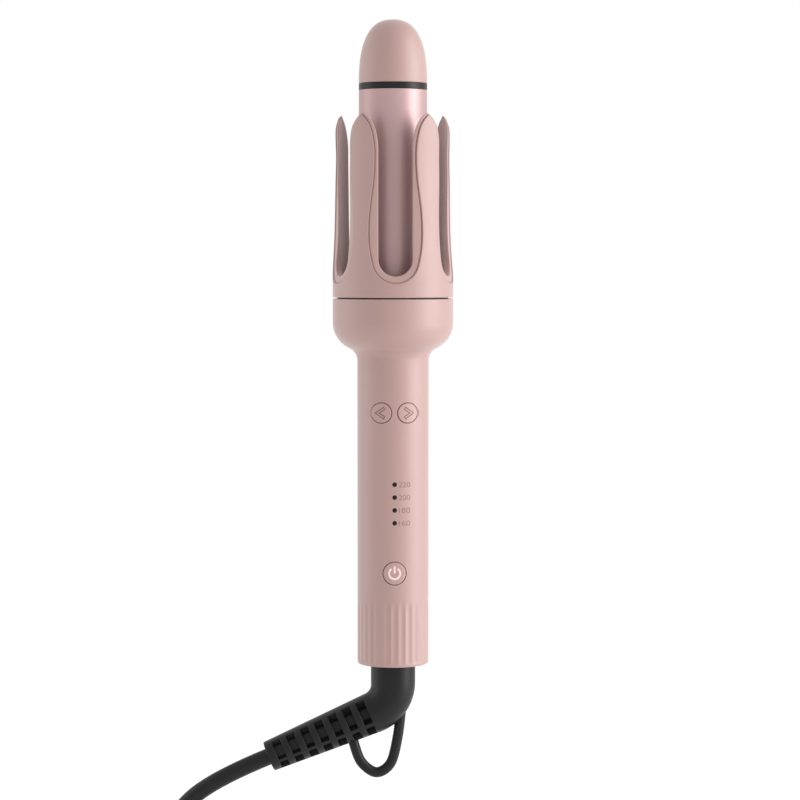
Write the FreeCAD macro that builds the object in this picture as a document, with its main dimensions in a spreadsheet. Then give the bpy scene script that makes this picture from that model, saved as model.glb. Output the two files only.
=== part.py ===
import FreeCAD, Part
import Sketcher
import math
import os
import re

# Automatic hair curler. A slim handle widens into a round head. The head's motor turns a cage of
# five petals about a fixed hot barrel. The cord leaves the handle through a swivelling rubber guard.
#
# Frame: +Z along the barrel axis, towards the tip. The controls face -Y. The origin is on the axis,
# at the handle's bottom rim. Every size is in millimetres.

SIZES = {
    # handle and head
    "handle_r": 16.75, "wall": 1.8, "rim_round": 1.2, "lip_round": 0.5,
    "head_r": 28.3, "head_curve_r": 13.2, "head_curve_z": 161.0, "neck_curve_r": 6.5, "seam_z": 172.2,
    "boss_r": 2.7, "boss_gap": 0.15, "low_boss_x": 8.0, "low_boss_z": 27.6, "high_boss_x": 17.0,
    "high_boss_z": 152.5, "shell_screw_r": 1.2, "shell_head_r": 2.4, "shell_head_deep": 2.2,
    "low_seat_y": 12.0, "high_seat_y": 15.5,
    # controls
    "arrow_r": 4.65, "arrow_x": 6.1, "arrow_z": 119.2, "power_r": 5.3, "power_z": 44.3,
    "button_gap": 0.25, "button_back_y": 12.6, "flange_wide": 0.85, "flange_thick": 0.9,
    "stem_r": 1.6, "stem_end_y": 10.4, "lamp_r": 1.05, "lamp_low_z": 67.85, "lamp_pitch": 6.0,
    # boards
    "board_thick": 1.6, "control_y": 8.0, "control_half": 11.4, "control_low": 32.0,
    "control_high": 127.0, "power_y": 5.0, "power_half": 12.2, "power_low": 32.0, "power_high": 118.0,
    "board_boss_r": 2.4, "board_screw_r": 1.0, "control_boss_low": 55.5, "control_boss_high": 100.0,
    "power_boss_low": 50.0, "power_boss_high": 92.0, "switch_side": 6.0, "switch_thick": 3.0,
    # gear plate and drive
    "plate_r": 26.4, "plate_z": 160.0, "plate_thick": 3.0, "gear_z": 164.5, "gear_wide": 5.0,
    "gear_module": 0.8, "pressure_angle": 25.0, "backlash": 0.16, "pinion_teeth": 12,
    "idler_teeth": 13, "ring_teeth": 58, "shaft_r": 1.5, "axle_r": 1.25, "running_gap": 0.05,
    "motor_r": 6.0, "gearbox_long": 12.0, "motor_long": 23.0,
    # barrel and its base
    "barrel_r": 16.0, "barrel_bore_r": 14.6, "barrel_z": 176.0, "barrel_top": 269.7,
    "base_r": 17.6, "base_z": 171.0, "base_top": 180.9, "spigot_top": 184.0, "lead_hole_r": 3.5,
    "lead_hole_y": 9.0, "clip_z": 179.3, "clip_thick": 0.9, "clip_deep": 0.7, "clip_r": 20.0,
    # cage
    "petals": 5, "cage_z": 172.8, "cage_r": 28.35, "cage_shoulder_z": 184.0, "cage_waist_r": 26.7,
    "cage_waist_z": 237.0, "cage_flare_r": 27.1, "cage_flare_z": 250.8, "petal_tip_z": 258.2,
    "tip_round": 2.0, "tip_round_deep": 1.2,
    "petal_foot_r": 24.2, "petal_inner_r": 25.2, "skirt_inner_r": 26.1, "floor_z": 176.0,
    "floor_top": 179.0, "cage_bore_gap": 0.08, "skin_deep": 0.7,
    "slot_half": 7.9, "slot_low_z": 182.7, "slot_flare_z": 238.0, "slot_bend_x": 10.6,
    "slot_bend_z": 253.6, "slot_side_r": 48.0, "slot_tip_x": 15.5, "slot_tip_r": 7.2,
    "face_low_z": 179.2, "face_low_r": 11.0, "face_low_x": 10.6, "face_low_bend_z": 187.3,
    "face_wide": 12.6, "face_wide_z": 202.3, "face_wide_r": 58.0, "face_waist": 9.75,
    "face_waist_z": 236.3, "face_s_r": 112.0, "face_bend_x": 11.6, "face_bend_z": 251.6,
    "face_side_r": 62.0, "face_tip_x": 15.9, "face_tip_z": 258.4, "face_tip_r": 12.2,
    "ring_outer_r": 26.0, "ring_inner_r": 22.6, "ring_low_z": 164.2,
    # tip
    "ring_top": 272.8, "tip_top": 302.6, "tip_wall": 1.9, "tip_power": 2.5,
    "tip_spigot_r": 13.9,
    # heater
    "heater_low": 196.0, "heater_high": 258.0, "heater_gap": 0.2, "ceramic_thick": 4.2,
    "ceramic_half": 10.0,
    # swivel
    "cap_thick": 3.0, "cap_gap": 0.3, "socket_r": 14.8, "socket_bore_r": 12.7, "socket_top": 24.0,
    "core_flange_r": 12.3, "core_r": 8.0, "slip_r": 9.2, "core_top": 21.5, "brush_gap": 0.1,
    # guard, loop and cord
    "guard_r": 10.5, "guard_bend_r": 15.0, "guard_corner_z": -19.5, "guard_dip": 22.6,
    "guard_mid_r": 9.75, "guard_tip_r": 7.2, "guard_long": 63.6, "rib_start": 14.0,
    "rib_pitch": 7.25, "rib_slot": 4.0, "rib_core_r": 5.0, "loop_r": 2.45, "cord_r": 4.0,
    "hank_x": -90.7, "hank_top_z": -142.0, "hank_run": 108.0, "hank_fold_r": 24.0,
    "hank_waist": 7.8, "hank_deep": 41.0, "hank_first_y": 16.4, "lead_first_run": 30.0,
    "lead_run": 26.0, "tie_wide": 12.0, "tie_thick": 1.6,
    # plug
    "plug_pin_r": 2.0, "plug_pin_long": 19.0, "plug_pin_gap": 19.0, "plug_long": 36.0,
    "plug_wide": 35.0, "plug_thick": 13.7,
}

doc = FreeCAD.newDocument("hair_curler")
sheet = doc.addObject("Spreadsheet::Sheet", "dim")
for row, (alias, number) in enumerate(SIZES.items(), start=1):
    sheet.set(f"A{row}", alias)
    sheet.set(f"B{row}", str(number))
    sheet.setAlias(f"B{row}", alias)
doc.recompute()

subparts = []


# ---------------------------------------------------------------- helpers

def bound(text):
    """The expression with each size's name pointed at its cell."""
    return re.sub(r"[a-z_]+", lambda word: "dim." + word[0] if word[0] in SIZES else word[0], str(text))


def value(text):
    """The number that an expression has now."""
    answer = sheet.evalExpression(bound(text))
    return float(getattr(answer, "Value", answer))


def bind(thing, **settings):
    """Bind properties to the sheet. Place_x, place_y and place_z set the Placement's base."""
    for name, text in settings.items():
        path = name.replace("place_", "Placement.Base.")
        thing.setExpression(path, bound(text))
    return thing


def named(thing, node):
    """Make the object a sub-part: its Label is its node's name."""
    thing.Label = node
    subparts.append(thing)
    return thing


ALONG = {"z": FreeCAD.Rotation(), "y": FreeCAD.Rotation(FreeCAD.Vector(1, 0, 0), -90),
         "-y": FreeCAD.Rotation(FreeCAD.Vector(1, 0, 0), 90),
         "x": FreeCAD.Rotation(FreeCAD.Vector(0, 1, 0), 90)}


def cylinder(radius, length, x="0", y="0", z="0", along="z"):
    """A round bar from its start point."""
    bar = doc.addObject("Part::Cylinder", "bar")
    bar.Placement.Rotation = ALONG[along]
    return bind(bar, Radius=radius, Height=length, place_x=x, place_y=y, place_z=z)


def block(wide, deep, high, x="0", y="0", z="0"):
    """A box centred on x, from y towards +Y and from z upwards."""
    box = doc.addObject("Part::Box", "block")
    return bind(box, Length=wide, Width=deep, Height=high, place_x=f"{x} - ({wide}) / 2",
                place_y=y, place_z=z)


def fuse(*pieces):
    joined = doc.addObject("Part::MultiFuse", "joined")
    joined.Shapes = list(pieces)
    return joined


def group(*pieces):
    """Separate solids kept in one node."""
    together = doc.addObject("Part::Compound", "group")
    together.Links = list(pieces)
    return together


def cut(base, *tools):
    result = doc.addObject("Part::Cut", "cut")
    result.Base = base
    result.Tool = tools[0] if len(tools) == 1 else fuse(*tools)
    return result


def common(first, second):
    shared = doc.addObject("Part::Common", "shared")
    shared.Base = first
    shared.Tool = second
    return shared


def plane(body, role):
    return next(item for item in body.Origin.OriginFeatures if item.Role == role)


def sketch_on(body, role):
    sketch = body.newObject("Sketcher::SketchObject", "outline")
    sketch.AttachmentSupport = [(plane(body, role), "")]
    sketch.MapMode = "FlatFace"
    return sketch


def edge_between(start, end, radius):
    """A straight edge, or an arc: a positive radius bends it to the left of its travel."""
    if not radius:
        return Part.LineSegment(start, end)
    chord = end - start
    offset = math.sqrt(max(radius ** 2 - (chord.Length / 2) ** 2, 0.0))
    left = FreeCAD.Vector(-chord.y, chord.x, 0).normalize()
    centre = (start + end) * 0.5 + left * math.copysign(offset, radius)
    angles = [math.atan2(point.y - centre.y, point.x - centre.x) for point in (start, end)]
    if radius < 0:
        angles.reverse()
    circle = Part.Circle(centre, FreeCAD.Vector(0, 0, 1), abs(radius))
    return Part.ArcOfCircle(circle, *angles)


def draw(sketch, corners):
    """A closed outline. A corner is (across, up), with a radius where the edge after it is an arc."""
    texts = [(corner + ("0",))[:3] for corner in corners]
    points = [FreeCAD.Vector(value(across), value(up), 0) for across, up, _ in texts]
    radii = [value(radius) for _, _, radius in texts]
    count = len(points)
    for index in range(count):
        sketch.addGeometry(edge_between(points[index], points[(index + 1) % count], radii[index]))
    starts = [2 if radius < 0 else 1 for radius in radii]
    for index, (across, up, radius) in enumerate(texts):
        before = (index - 1) % count
        pin = Sketcher.Constraint("Coincident", before, 3 - starts[before], index, starts[index])
        sketch.addConstraint(pin)
        for kind, text in (("DistanceX", across), ("DistanceY", up)):
            number = value(text)
            if abs(number) < 1e-9:
                axis = -2 if kind == "DistanceX" else -1
                sketch.addConstraint(Sketcher.Constraint("PointOnObject", index, starts[index], axis))
                continue
            place = sketch.addConstraint(
                Sketcher.Constraint(kind, -1, 1, index, starts[index], number))
            sketch.setExpression(f"Constraints[{place}]", bound(text))
        if radii[index]:
            place = sketch.addConstraint(Sketcher.Constraint("Radius", index, abs(radii[index])))
            sketch.setExpression(f"Constraints[{place}]", f"abs({bound(radius)})")
    return sketch


def turned(corners, sweep=360, backwards=False):
    """A body of revolution about Z, from its section in the XZ plane."""
    body = doc.addObject("PartDesign::Body", "body")
    sketch = draw(sketch_on(body, "XZ_Plane"), corners)
    turn = body.newObject("PartDesign::Revolution", "turn")
    turn.Profile = sketch
    turn.ReferenceAxis = (sketch, ["V_Axis"])
    turn.Angle = sweep
    turn.Reversed = backwards
    return body


def ring(inner, outer, low, high):
    return turned([(inner, low), (outer, low), (outer, high), (inner, high)])


def flat(corners, role, low, thick):
    """A flat plate: an outline in a base plane, pushed thick along the plane's axis from low."""
    body = doc.addObject("PartDesign::Body", "plate")
    pad = body.newObject("PartDesign::Pad", "pad")
    pad.Profile = draw(sketch_on(body, role), corners)
    bind(pad, Length=thick)
    axis = "place_z" if role == "XY_Plane" else "place_y"
    return bind(body, **{axis: low})


def tube(points, radius, bend):
    """A round wire or cord: straight runs joined by tangent arcs of one radius."""
    edges = []
    last = points[0]
    for before, corner, after in zip(points, points[1:], points[2:]):
        into = (corner - before).normalize()
        out = (after - corner).normalize()
        turn = into.getAngle(out)
        reach = bend(before, corner, after, turn) * math.tan(turn / 2)
        start = corner - into * reach
        end = corner + out * reach
        inward = (out - into).normalize()
        radius_here = reach / math.tan(turn / 2)
        middle = corner + inward * (radius_here / math.cos(turn / 2) - radius_here)
        edges.append(Part.LineSegment(last, start).toShape())
        edges.append(Part.Arc(start, middle, end).toShape())
        last = end
    edges.append(Part.LineSegment(last, points[-1]).toShape())
    path = Part.Wire(edges)
    section = Part.Wire(Part.Circle(points[0], points[1] - points[0], radius).toShape())
    return path.makePipeShell([section], True, False), path.Length


def feature(shape):
    """A shape that no primitive or sketch makes."""
    thing = doc.addObject("Part::Feature", "shape")
    thing.Shape = shape
    return thing


def point(x, y, z):
    return FreeCAD.Vector(value(x), value(y), value(z))


# ---------------------------------------------------------------- handle and head shells

HEAD_CENTRE = "(head_r - head_curve_r)"
NECK_CENTRE = "(handle_r + neck_curve_r)"
CURVES_APART = "(head_curve_r + neck_curve_r)"
NECK_DROP = f"sqrt({CURVES_APART}^2 - ({NECK_CENTRE} - {HEAD_CENTRE})^2)"


def blend(radius):
    """The point where the head's round, at this radius, runs into the neck's."""
    part = f"({radius}) / {CURVES_APART}"
    return (f"{HEAD_CENTRE} + {part} * ({NECK_CENTRE} - {HEAD_CENTRE})",
            f"head_curve_z - {part} * {NECK_DROP}")


def shell_section():
    outer = blend("head_curve_r")
    inner = blend("head_curve_r - wall")
    neck_z = f"head_curve_z - {NECK_DROP}"
    return [
        ("handle_r - rim_round", "0", "rim_round"),
        ("handle_r", "rim_round"),
        ("handle_r", neck_z, "-neck_curve_r"),
        (*outer, "head_curve_r"),
        ("head_r", "head_curve_z"),
        ("head_r", "seam_z - lip_round", "lip_round"),
        ("head_r - lip_round", "seam_z"),
        ("head_r - wall", "seam_z"),
        ("head_r - wall", "head_curve_z", "-(head_curve_r - wall)"),
        (*inner, "neck_curve_r + wall"),
        ("handle_r - wall", neck_z),
        ("handle_r - wall", "0"),
    ]


def shell_core():
    """The inside of the handle and head, which trims whatever stands on the wall."""
    inner = blend("head_curve_r - wall / 2")
    neck_z = f"head_curve_z - {NECK_DROP}"
    return turned([
        ("0", "0"),
        ("handle_r - wall / 2", "0"),
        ("handle_r - wall / 2", neck_z, "-(neck_curve_r + wall / 2)"),
        (*inner, "head_curve_r - wall / 2"),
        ("head_r - wall / 2", "head_curve_z"),
        ("head_r - wall / 2", "plate_z - 0.5"),
        ("0", "plate_z - 0.5"),
    ])


SHELL_BOSSES = [(side + x, z, seat)
                for x, z, seat in (("low_boss_x", "low_boss_z", "low_seat_y"),
                                   ("high_boss_x", "high_boss_z", "high_seat_y"))
                for side in ("", "-")]


def shell(backwards):
    """Half of the handle and head, with the bosses that its screws go through."""
    front = backwards
    half = turned(shell_section(), 180, backwards)
    start = "-head_r" if front else "boss_gap"
    posts = [cylinder("boss_r", "head_r - boss_gap", x, start, z, "y") for x, z, seat in SHELL_BOSSES]
    rows = ("control_boss_low", "control_boss_high") if front else ("power_boss_low", "power_boss_high")
    if front:
        posts += [cylinder("board_boss_r", "handle_r - control_y", y="-handle_r", z=z, along="y")
                  for z in rows]
    else:
        posts += [cylinder("board_boss_r", "handle_r - power_y - board_thick",
                           y="power_y + board_thick", z=z, along="y") for z in rows]
    trimmed = common(fuse(*posts), shell_core())
    whole = fuse(half, trimmed)
    if front:
        holes = [cylinder("shell_screw_r", "9", x, "-9", z, "y") for x, z, seat in SHELL_BOSSES]
        holes += [cylinder("board_screw_r", "5.5", y="-control_y - 5.5", z=z, along="y") for z in rows]
        for x in ("-arrow_x", "arrow_x"):
            holes.append(cylinder("arrow_r + button_gap", "8", x, "-handle_r - 1", "arrow_z", "y"))
        holes.append(cylinder("power_r + button_gap", "8", "0", "-handle_r - 1", "power_z", "y"))
        holes += [cylinder("lamp_r", "6", "0", "-handle_r - 1", lamp_z(step), "y") for step in range(4)]
    else:
        holes = [cylinder("shell_screw_r", "head_r", x, "0", z, "y") for x, z, seat in SHELL_BOSSES]
        holes += [cylinder("board_screw_r", "5.5", y="power_y + board_thick", z=z, along="y")
                  for z in rows]
        holes += [cylinder("shell_head_r", "head_r", x, seat, z, "y")
                  for x, z, seat in SHELL_BOSSES]
    return cut(whole, *holes)


def lamp_z(step):
    return f"lamp_low_z + {step} * lamp_pitch"


def shell_screws():
    screws = []
    for x, z, seat in SHELL_BOSSES:
        shank = cylinder("shell_screw_r", f"{seat} + 7.5", x, "-7.5", z, "y")
        head = cylinder("shell_head_r - 0.1", "shell_head_deep", x, seat, z, "y")
        socket = cylinder("1.0", "2", x, f"{seat} + shell_head_deep - 1.2", z, "y")
        screws.append(cut(fuse(shank, head), socket))
    return group(*screws)


def end_cap():
    return ring("guard_r + cap_gap", "handle_r - wall - 0.05", "0", "cap_thick")


# ---------------------------------------------------------------- controls

def button(radius, x, z):
    """A press cap that follows the handle's round, its flange inside the wall and its stem."""
    skin = common(cylinder(radius, "handle_r", x, "-handle_r - 1", z, "y"),
                  cylinder("handle_r", "60", z=f"{z} - 30"))
    cap = common(skin, block("40", "10", "40", y="-button_back_y - 10", z=f"{z} - 20"))
    flange = common(cylinder(f"{radius} + flange_wide", "flange_thick", x,
                             "-button_back_y", z, "y"),
                    cylinder("handle_r - wall - 0.25", "60", z=f"{z} - 30"))
    stem = cylinder("stem_r", "button_back_y - stem_end_y", x, "-button_back_y", z, "y")
    return fuse(cap, flange, stem)


def tact_switches():
    """One switch under each button, with the well that the button's stem presses into."""
    switches = []
    for x, z in (("-arrow_x", "arrow_z"), ("arrow_x", "arrow_z"), ("0", "power_z")):
        base = block("switch_side", "switch_thick", "switch_side", x,
                     "-control_y - switch_thick", f"{z} - switch_side / 2")
        well = cylinder("stem_r + 0.25", "1.8", x, "-control_y - switch_thick", z, "y")
        switches.append(cut(base, well))
    return group(*switches)


def lamp_pipes():
    return group(*[common(cylinder("lamp_r", "handle_r - 9.2", "0", "-handle_r", lamp_z(step), "y"),
                          cylinder("handle_r", "60", z="50")) for step in range(4)])


def lamp_chips():
    return group(*[block("1.6", "0.9", "1.6", "0", "-control_y - 0.9", f"{lamp_z(step)} - 0.8")
                   for step in range(4)])


# ---------------------------------------------------------------- boards

def control_board():
    board = block("2 * control_half", "board_thick", "control_high - control_low",
                  y="-control_y", z="control_low")
    holes = [cylinder("board_screw_r", "board_thick", y="-control_y", z=z, along="y")
             for z in ("control_boss_low", "control_boss_high")]
    return cut(board, *holes)


def control_screws():
    screws = []
    for z in ("control_boss_low", "control_boss_high"):
        shank = cylinder("board_screw_r", "6.6", y="-control_y + board_thick - 6.6", z=z, along="y")
        head = cylinder("2.0", "1.2", y="-control_y + board_thick", z=z, along="y")
        screws.append(fuse(shank, head))
    return group(*screws)


def control_chip():
    return block("7", "1.4", "7", y="-control_y + board_thick", z="73")


def power_board():
    board = block("2 * power_half", "board_thick", "power_high - power_low", y="power_y",
                  z="power_low")
    holes = [cylinder("board_screw_r", "board_thick", y="power_y", z=z, along="y")
             for z in ("power_boss_low", "power_boss_high")]
    return cut(board, *holes)


def power_screws():
    screws = []
    for z in ("power_boss_low", "power_boss_high"):
        shank = cylinder("board_screw_r", "board_thick + 5", y="power_y", z=z, along="y")
        head = cylinder("2.0", "1.2", y="power_y - 1.2", z=z, along="y")
        screws.append(fuse(shank, head))
    return group(*screws)


def board_parts():
    """On the power board: the heater's triac, its fuse and the motor's relay."""
    triac = block("10", "4.4", "15", "-6.5", "power_y - 4.4", "98")
    fuse_holder = cylinder("2.6", "20", "8", "power_y - 2.6", "64")
    relay = block("9", "8", "12", "-6.5", "power_y - 8", "60")
    return group(triac, fuse_holder, relay)


def smoothing_capacitor():
    return cylinder("4.2", "16", "6.5", "power_y - 4.3", "98")


# ---------------------------------------------------------------- drive

def gear_edge(teeth, grow, shrink):
    """Half of one tooth's flank, from the root to the tip, as (radius, angle from its middle)."""
    module = value("gear_module")
    pressure = math.radians(value("pressure_angle"))
    pitch = module * teeth / 2
    base = pitch * math.cos(pressure)
    half = math.pi / (2 * teeth) - grow / (2 * pitch)
    tip = pitch + shrink[1] * module
    root = pitch - shrink[0] * module
    curve = []
    steps = 6
    low = max(root, base)
    for step in range(steps + 1):
        radius = low + (tip - low) * step / steps
        roll = math.acos(min(base / radius, 1))
        at_pitch = math.tan(pressure) - pressure
        curve.append((radius, half + at_pitch - (math.tan(roll) - roll)))
    if root < base:
        curve.insert(0, (root, curve[0][1]))
    return curve


def gear_shape(teeth, low, high, grow=0.0, depth=(1.15, 0.9), first=90.0):
    """A spur gear's solid about its own axis, with one tooth centred at the angle first."""
    flank = gear_edge(teeth, grow, depth)
    points = []
    for tooth in range(teeth):
        middle = math.radians(first) + 2 * math.pi * tooth / teeth
        polar = [(radius, middle - angle) for radius, angle in flank]
        polar += [(radius, middle + angle) for radius, angle in reversed(flank)]
        points += [FreeCAD.Vector(radius * math.cos(angle), radius * math.sin(angle), low)
                   for radius, angle in polar]
    outline = Part.makePolygon(points + [points[0]])
    return Part.Face(outline).extrude(FreeCAD.Vector(0, 0, high - low))


def gear(teeth_name, bore, y, toward):
    """A spur gear on an axis at y. Its first tooth points at the angle toward, in degrees."""
    low = value("gear_z")
    high = value("gear_z + gear_wide")
    shape = gear_shape(int(value(teeth_name)), low, high, value("backlash"), first=toward)
    hole = Part.makeCylinder(value(bore), high - low, FreeCAD.Vector(0, 0, low))
    thing = feature(shape.cut(hole))
    thing.Placement.Base = FreeCAD.Vector(0, value(y), 0)
    return thing


IDLER_Y = "gear_module * (ring_teeth - idler_teeth) / 2"
PINION_Y = "gear_module * (ring_teeth - 2 * idler_teeth - pinion_teeth) / 2"


RING_SCREWS = (30, 150, 270)


def on_circle(radius, degrees):
    """The x and y of a place on a circle about the axis."""
    turn = math.radians(degrees)
    return f"{radius} * {math.cos(turn):.9f}", f"{radius} * {math.sin(turn):.9f}"


def ring_gear():
    """The cage's internal gear, with a plain wall above its teeth."""
    low = value("ring_low_z")
    high = value("gear_z + gear_wide + 1")
    wall = ring("ring_inner_r", "ring_outer_r", "ring_low_z", "floor_z")
    space = gear_shape(int(value("ring_teeth")), low, high, -value("backlash"), (0.9, 1.2), 90.0)
    holes = [cylinder("0.8", "floor_z - 171.5", *on_circle("(ring_inner_r + ring_outer_r) / 2", turn),
                      "171.5") for turn in RING_SCREWS]
    return cut(wall, feature(space), *holes)


def ring_screws():
    screws = []
    for turn in RING_SCREWS:
        x, y = on_circle("(ring_inner_r + ring_outer_r) / 2", turn)
        shank = cylinder("0.8", "floor_top - 173", x, y, "172.5")
        head = cylinder("1.5", "1", x, y, "floor_top - 1")
        screws.append(fuse(shank, head))
    return group(*screws)


MOTOR_SCREWS = [(x, PINION_Y) for x in ("-4.2", "4.2")]
BASE_SCREWS = [("-11.5", "-5"), ("11.5", "-5"), ("0", "-14.6")]


def gear_plate():
    """The disc across the head that carries the motor, the idler's axle and the barrel's base."""
    disc = cylinder("plate_r", "plate_thick", z="plate_z")
    holes = [cylinder("shaft_r + 0.1", "plate_thick", y=PINION_Y, z="plate_z"),
             cylinder("axle_r", "plate_thick", y=IDLER_Y, z="plate_z"),
             cylinder("lead_hole_r", "plate_thick", y="-lead_hole_y", z="plate_z")]
    for x, y in MOTOR_SCREWS:
        holes.append(cylinder("0.8", "plate_thick", x, y, "plate_z"))
        holes.append(cylinder("1.6", "1", x, y, "plate_z + plate_thick - 1"))
    holes += [cylinder("1.25", "plate_thick", x, y, "plate_z") for x, y in BASE_SCREWS]
    return cut(disc, *holes)


def motor_screws():
    screws = []
    for x, y in MOTOR_SCREWS:
        shank = cylinder("0.8", "7", x, y, "plate_z + plate_thick - 7.5")
        head = cylinder("1.6", "1", x, y, "plate_z + plate_thick - 1")
        screws.append(fuse(shank, head))
    return group(*screws)


def base_screws():
    screws = []
    for x, y in BASE_SCREWS:
        shank = cylinder("1.25", "plate_thick + 5", x, y, "plate_z")
        head = cylinder("2.2", "1.4", x, y, "plate_z - 1.4")
        screws.append(fuse(shank, head))
    return group(*screws)


def gearbox():
    """The reduction gearbox's case, open in the middle for its output shaft."""
    case = cylinder("motor_r", "gearbox_long", y=PINION_Y, z="plate_z - gearbox_long")
    holes = [cylinder("shaft_r + running_gap", "6", y=PINION_Y, z="plate_z - 6")]
    holes += [cylinder("0.8", "4.5", x, y, "plate_z - 4.5") for x, y in MOTOR_SCREWS]
    return cut(case, *holes)


def output_shaft():
    return cylinder("shaft_r", "gear_z + gear_wide - plate_z + 5", y=PINION_Y, z="plate_z - 5")


def motor():
    low = "plate_z - gearbox_long - motor_long"
    can = cylinder("motor_r - 0.2", "motor_long", y=PINION_Y, z=low)
    boss = cylinder("2.0", "1.5", y=PINION_Y, z=f"{low} - 1.5")
    tabs = [block("1.6", "0.4", "3", x, PINION_Y, f"{low} - 3") for x in ("-4", "4")]
    return fuse(can, boss, *tabs)


def idler_axle():
    pin = cylinder("axle_r", "gear_z + gear_wide + 0.6 - plate_z", y=IDLER_Y, z="plate_z")
    head = cylinder("2.2", "0.8", y=IDLER_Y, z="gear_z + gear_wide + 0.2")
    return fuse(pin, head)


def idler_washer():
    return cut(cylinder("3.0", "1.3", y=IDLER_Y, z="plate_z + plate_thick"),
               cylinder("axle_r", "1.3", y=IDLER_Y, z="plate_z + plate_thick"))


# ---------------------------------------------------------------- barrel

def barrel_base():
    """The heat-proof base: a foot beside the gears, the cage's journal and the barrel's socket."""
    journal = turned([
        ("0", "base_z"), ("base_r", "base_z"), ("base_r", "clip_z"), ("base_r - clip_deep", "clip_z"),
        ("base_r - clip_deep", "clip_z + clip_thick"), ("base_r", "clip_z + clip_thick"),
        ("base_r", "base_top"), ("barrel_r", "base_top"), ("barrel_r", "barrel_z"),
        ("barrel_bore_r", "barrel_z"), ("barrel_bore_r", "spigot_top"), ("0", "spigot_top")])
    disc = cylinder("base_r", "base_z - plate_z - plate_thick", z="plate_z + plate_thick")
    clear = block("40", "20", "base_z - plate_z - plate_thick", y="1", z="plate_z + plate_thick")
    foot = cut(disc, clear)
    holes = [cylinder("lead_hole_r", "30", y="-lead_hole_y", z="plate_z + plate_thick")]
    holes += [cylinder("1.25", "5", x, y, "plate_z + plate_thick") for x, y in BASE_SCREWS]
    return cut(fuse(journal, foot), *holes)


def barrel_tube():
    return ring("barrel_bore_r", "barrel_r", "barrel_z", "barrel_top")


def retaining_clip():
    """The open spring ring that keeps the cage down on its journal."""
    whole = ring("base_r - clip_deep", "clip_r", "clip_z", "clip_z + clip_thick")
    return cut(whole, block("5", "8", "clip_thick", y="14", z="clip_z"))


def tip_ring():
    """The insulator between the hot barrel and the cool tip."""
    return turned([
        ("12", "barrel_top - 8"), ("barrel_bore_r", "barrel_top - 8"), ("barrel_bore_r", "barrel_top"),
        ("barrel_r", "barrel_top"), ("barrel_r", "ring_top"), ("tip_spigot_r", "ring_top"),
        ("tip_spigot_r", "ring_top + 4"), ("12", "ring_top + 4")])


def dome_curve(radius, high, low):
    """A dome's profile between a circle's and a square's, from its rim to its top."""
    power = value("tip_power")
    count = 12
    points = []
    for step in range(count + 1):
        turn = math.pi / 2 * step / count
        across = radius * math.cos(turn) ** (2 / power)
        up = low + (high - low) * math.sin(turn) ** (2 / power)
        points.append(FreeCAD.Vector(max(across, 0.0), 0, up))
    points[-1].x = 0.0
    curve = Part.BSplineCurve()
    curve.interpolate(points, False)
    return curve.toShape()


def tip_cap():
    low = value("ring_top")
    wall = value("tip_wall")
    outer = dome_curve(value("barrel_r"), value("tip_top"), low)
    inner = dome_curve(value("barrel_r") - wall, value("tip_top") - wall, low)
    rim = Part.makeLine(inner.valueAt(inner.FirstParameter), outer.valueAt(outer.FirstParameter))
    middle = Part.makeLine(outer.valueAt(outer.LastParameter), inner.valueAt(inner.LastParameter))
    section = Part.Face(Part.Wire([rim, outer, middle, inner]))
    return feature(section.revolve(FreeCAD.Vector(), FreeCAD.Vector(0, 0, 1), 360))


# ---------------------------------------------------------------- heater

def heat_spreader(side):
    """Half of the aluminium core that carries heat from the ceramic to the barrel."""
    reach = "heater_high - heater_low"
    bar = cylinder("barrel_bore_r - heater_gap", reach, z="heater_low")
    start = "ceramic_thick / 2" if side > 0 else "-barrel_r"
    half = block("40", "barrel_r - ceramic_thick / 2", reach, y=start, z="heater_low")
    hole = cylinder("1.3", "14", "7", f"{side} * 7", "heater_high - 14")
    return cut(common(bar, half), hole)


def heater_ceramics():
    """Three heating elements, one above the other."""
    each = "(heater_high - heater_low) / 3"
    return group(*[block("2 * ceramic_half", "ceramic_thick", f"{each} - 1", y="-ceramic_thick / 2",
                         z=f"heater_low + {step} * {each} + 0.5") for step in range(3)])


def temperature_sensor():
    return cylinder("1.3", "6", "7", "-7", "heater_high - 14")


def thermal_fuse():
    return cylinder("2.0", "heater_low - spigot_top", "0", "5", "spigot_top")


# ---------------------------------------------------------------- petal cage

def cage_section(inner_low, inset):
    """The cage's section, from its skirt to the petals' rounded tips, with its outside set in."""
    return inner_low + [
        (f"cage_r - {inset} - lip_round", "cage_z", "lip_round"),
        (f"cage_r - {inset}", "cage_z + lip_round"),
        (f"cage_r - {inset}", "cage_shoulder_z"),
        (f"cage_waist_r - {inset}", "cage_waist_z"),
        (f"cage_flare_r - {inset}", "cage_flare_z", "60"),
        (f"cage_flare_r - {inset} - 0.5", "petal_tip_z - tip_round_deep", "tip_round"),
        ("petal_inner_r + 0.2", "petal_tip_z"),
        ("petal_inner_r", "petal_tip_z - 0.5"),
        ("petal_inner_r", "cage_waist_z"),
    ]


def slot_edge():
    """Half of a slot's opening, from its foot to above the petals' tips."""
    return [
        ("0", "slot_low_z", "slot_half"),
        ("slot_half", "slot_low_z + slot_half"),
        ("slot_half", "slot_flare_z", "-slot_side_r"),
        ("slot_bend_x", "slot_bend_z", "-slot_tip_r"),
        ("slot_tip_x", "petal_tip_z"),
        ("slot_tip_x", "petal_tip_z + 4"),
    ]


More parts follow.
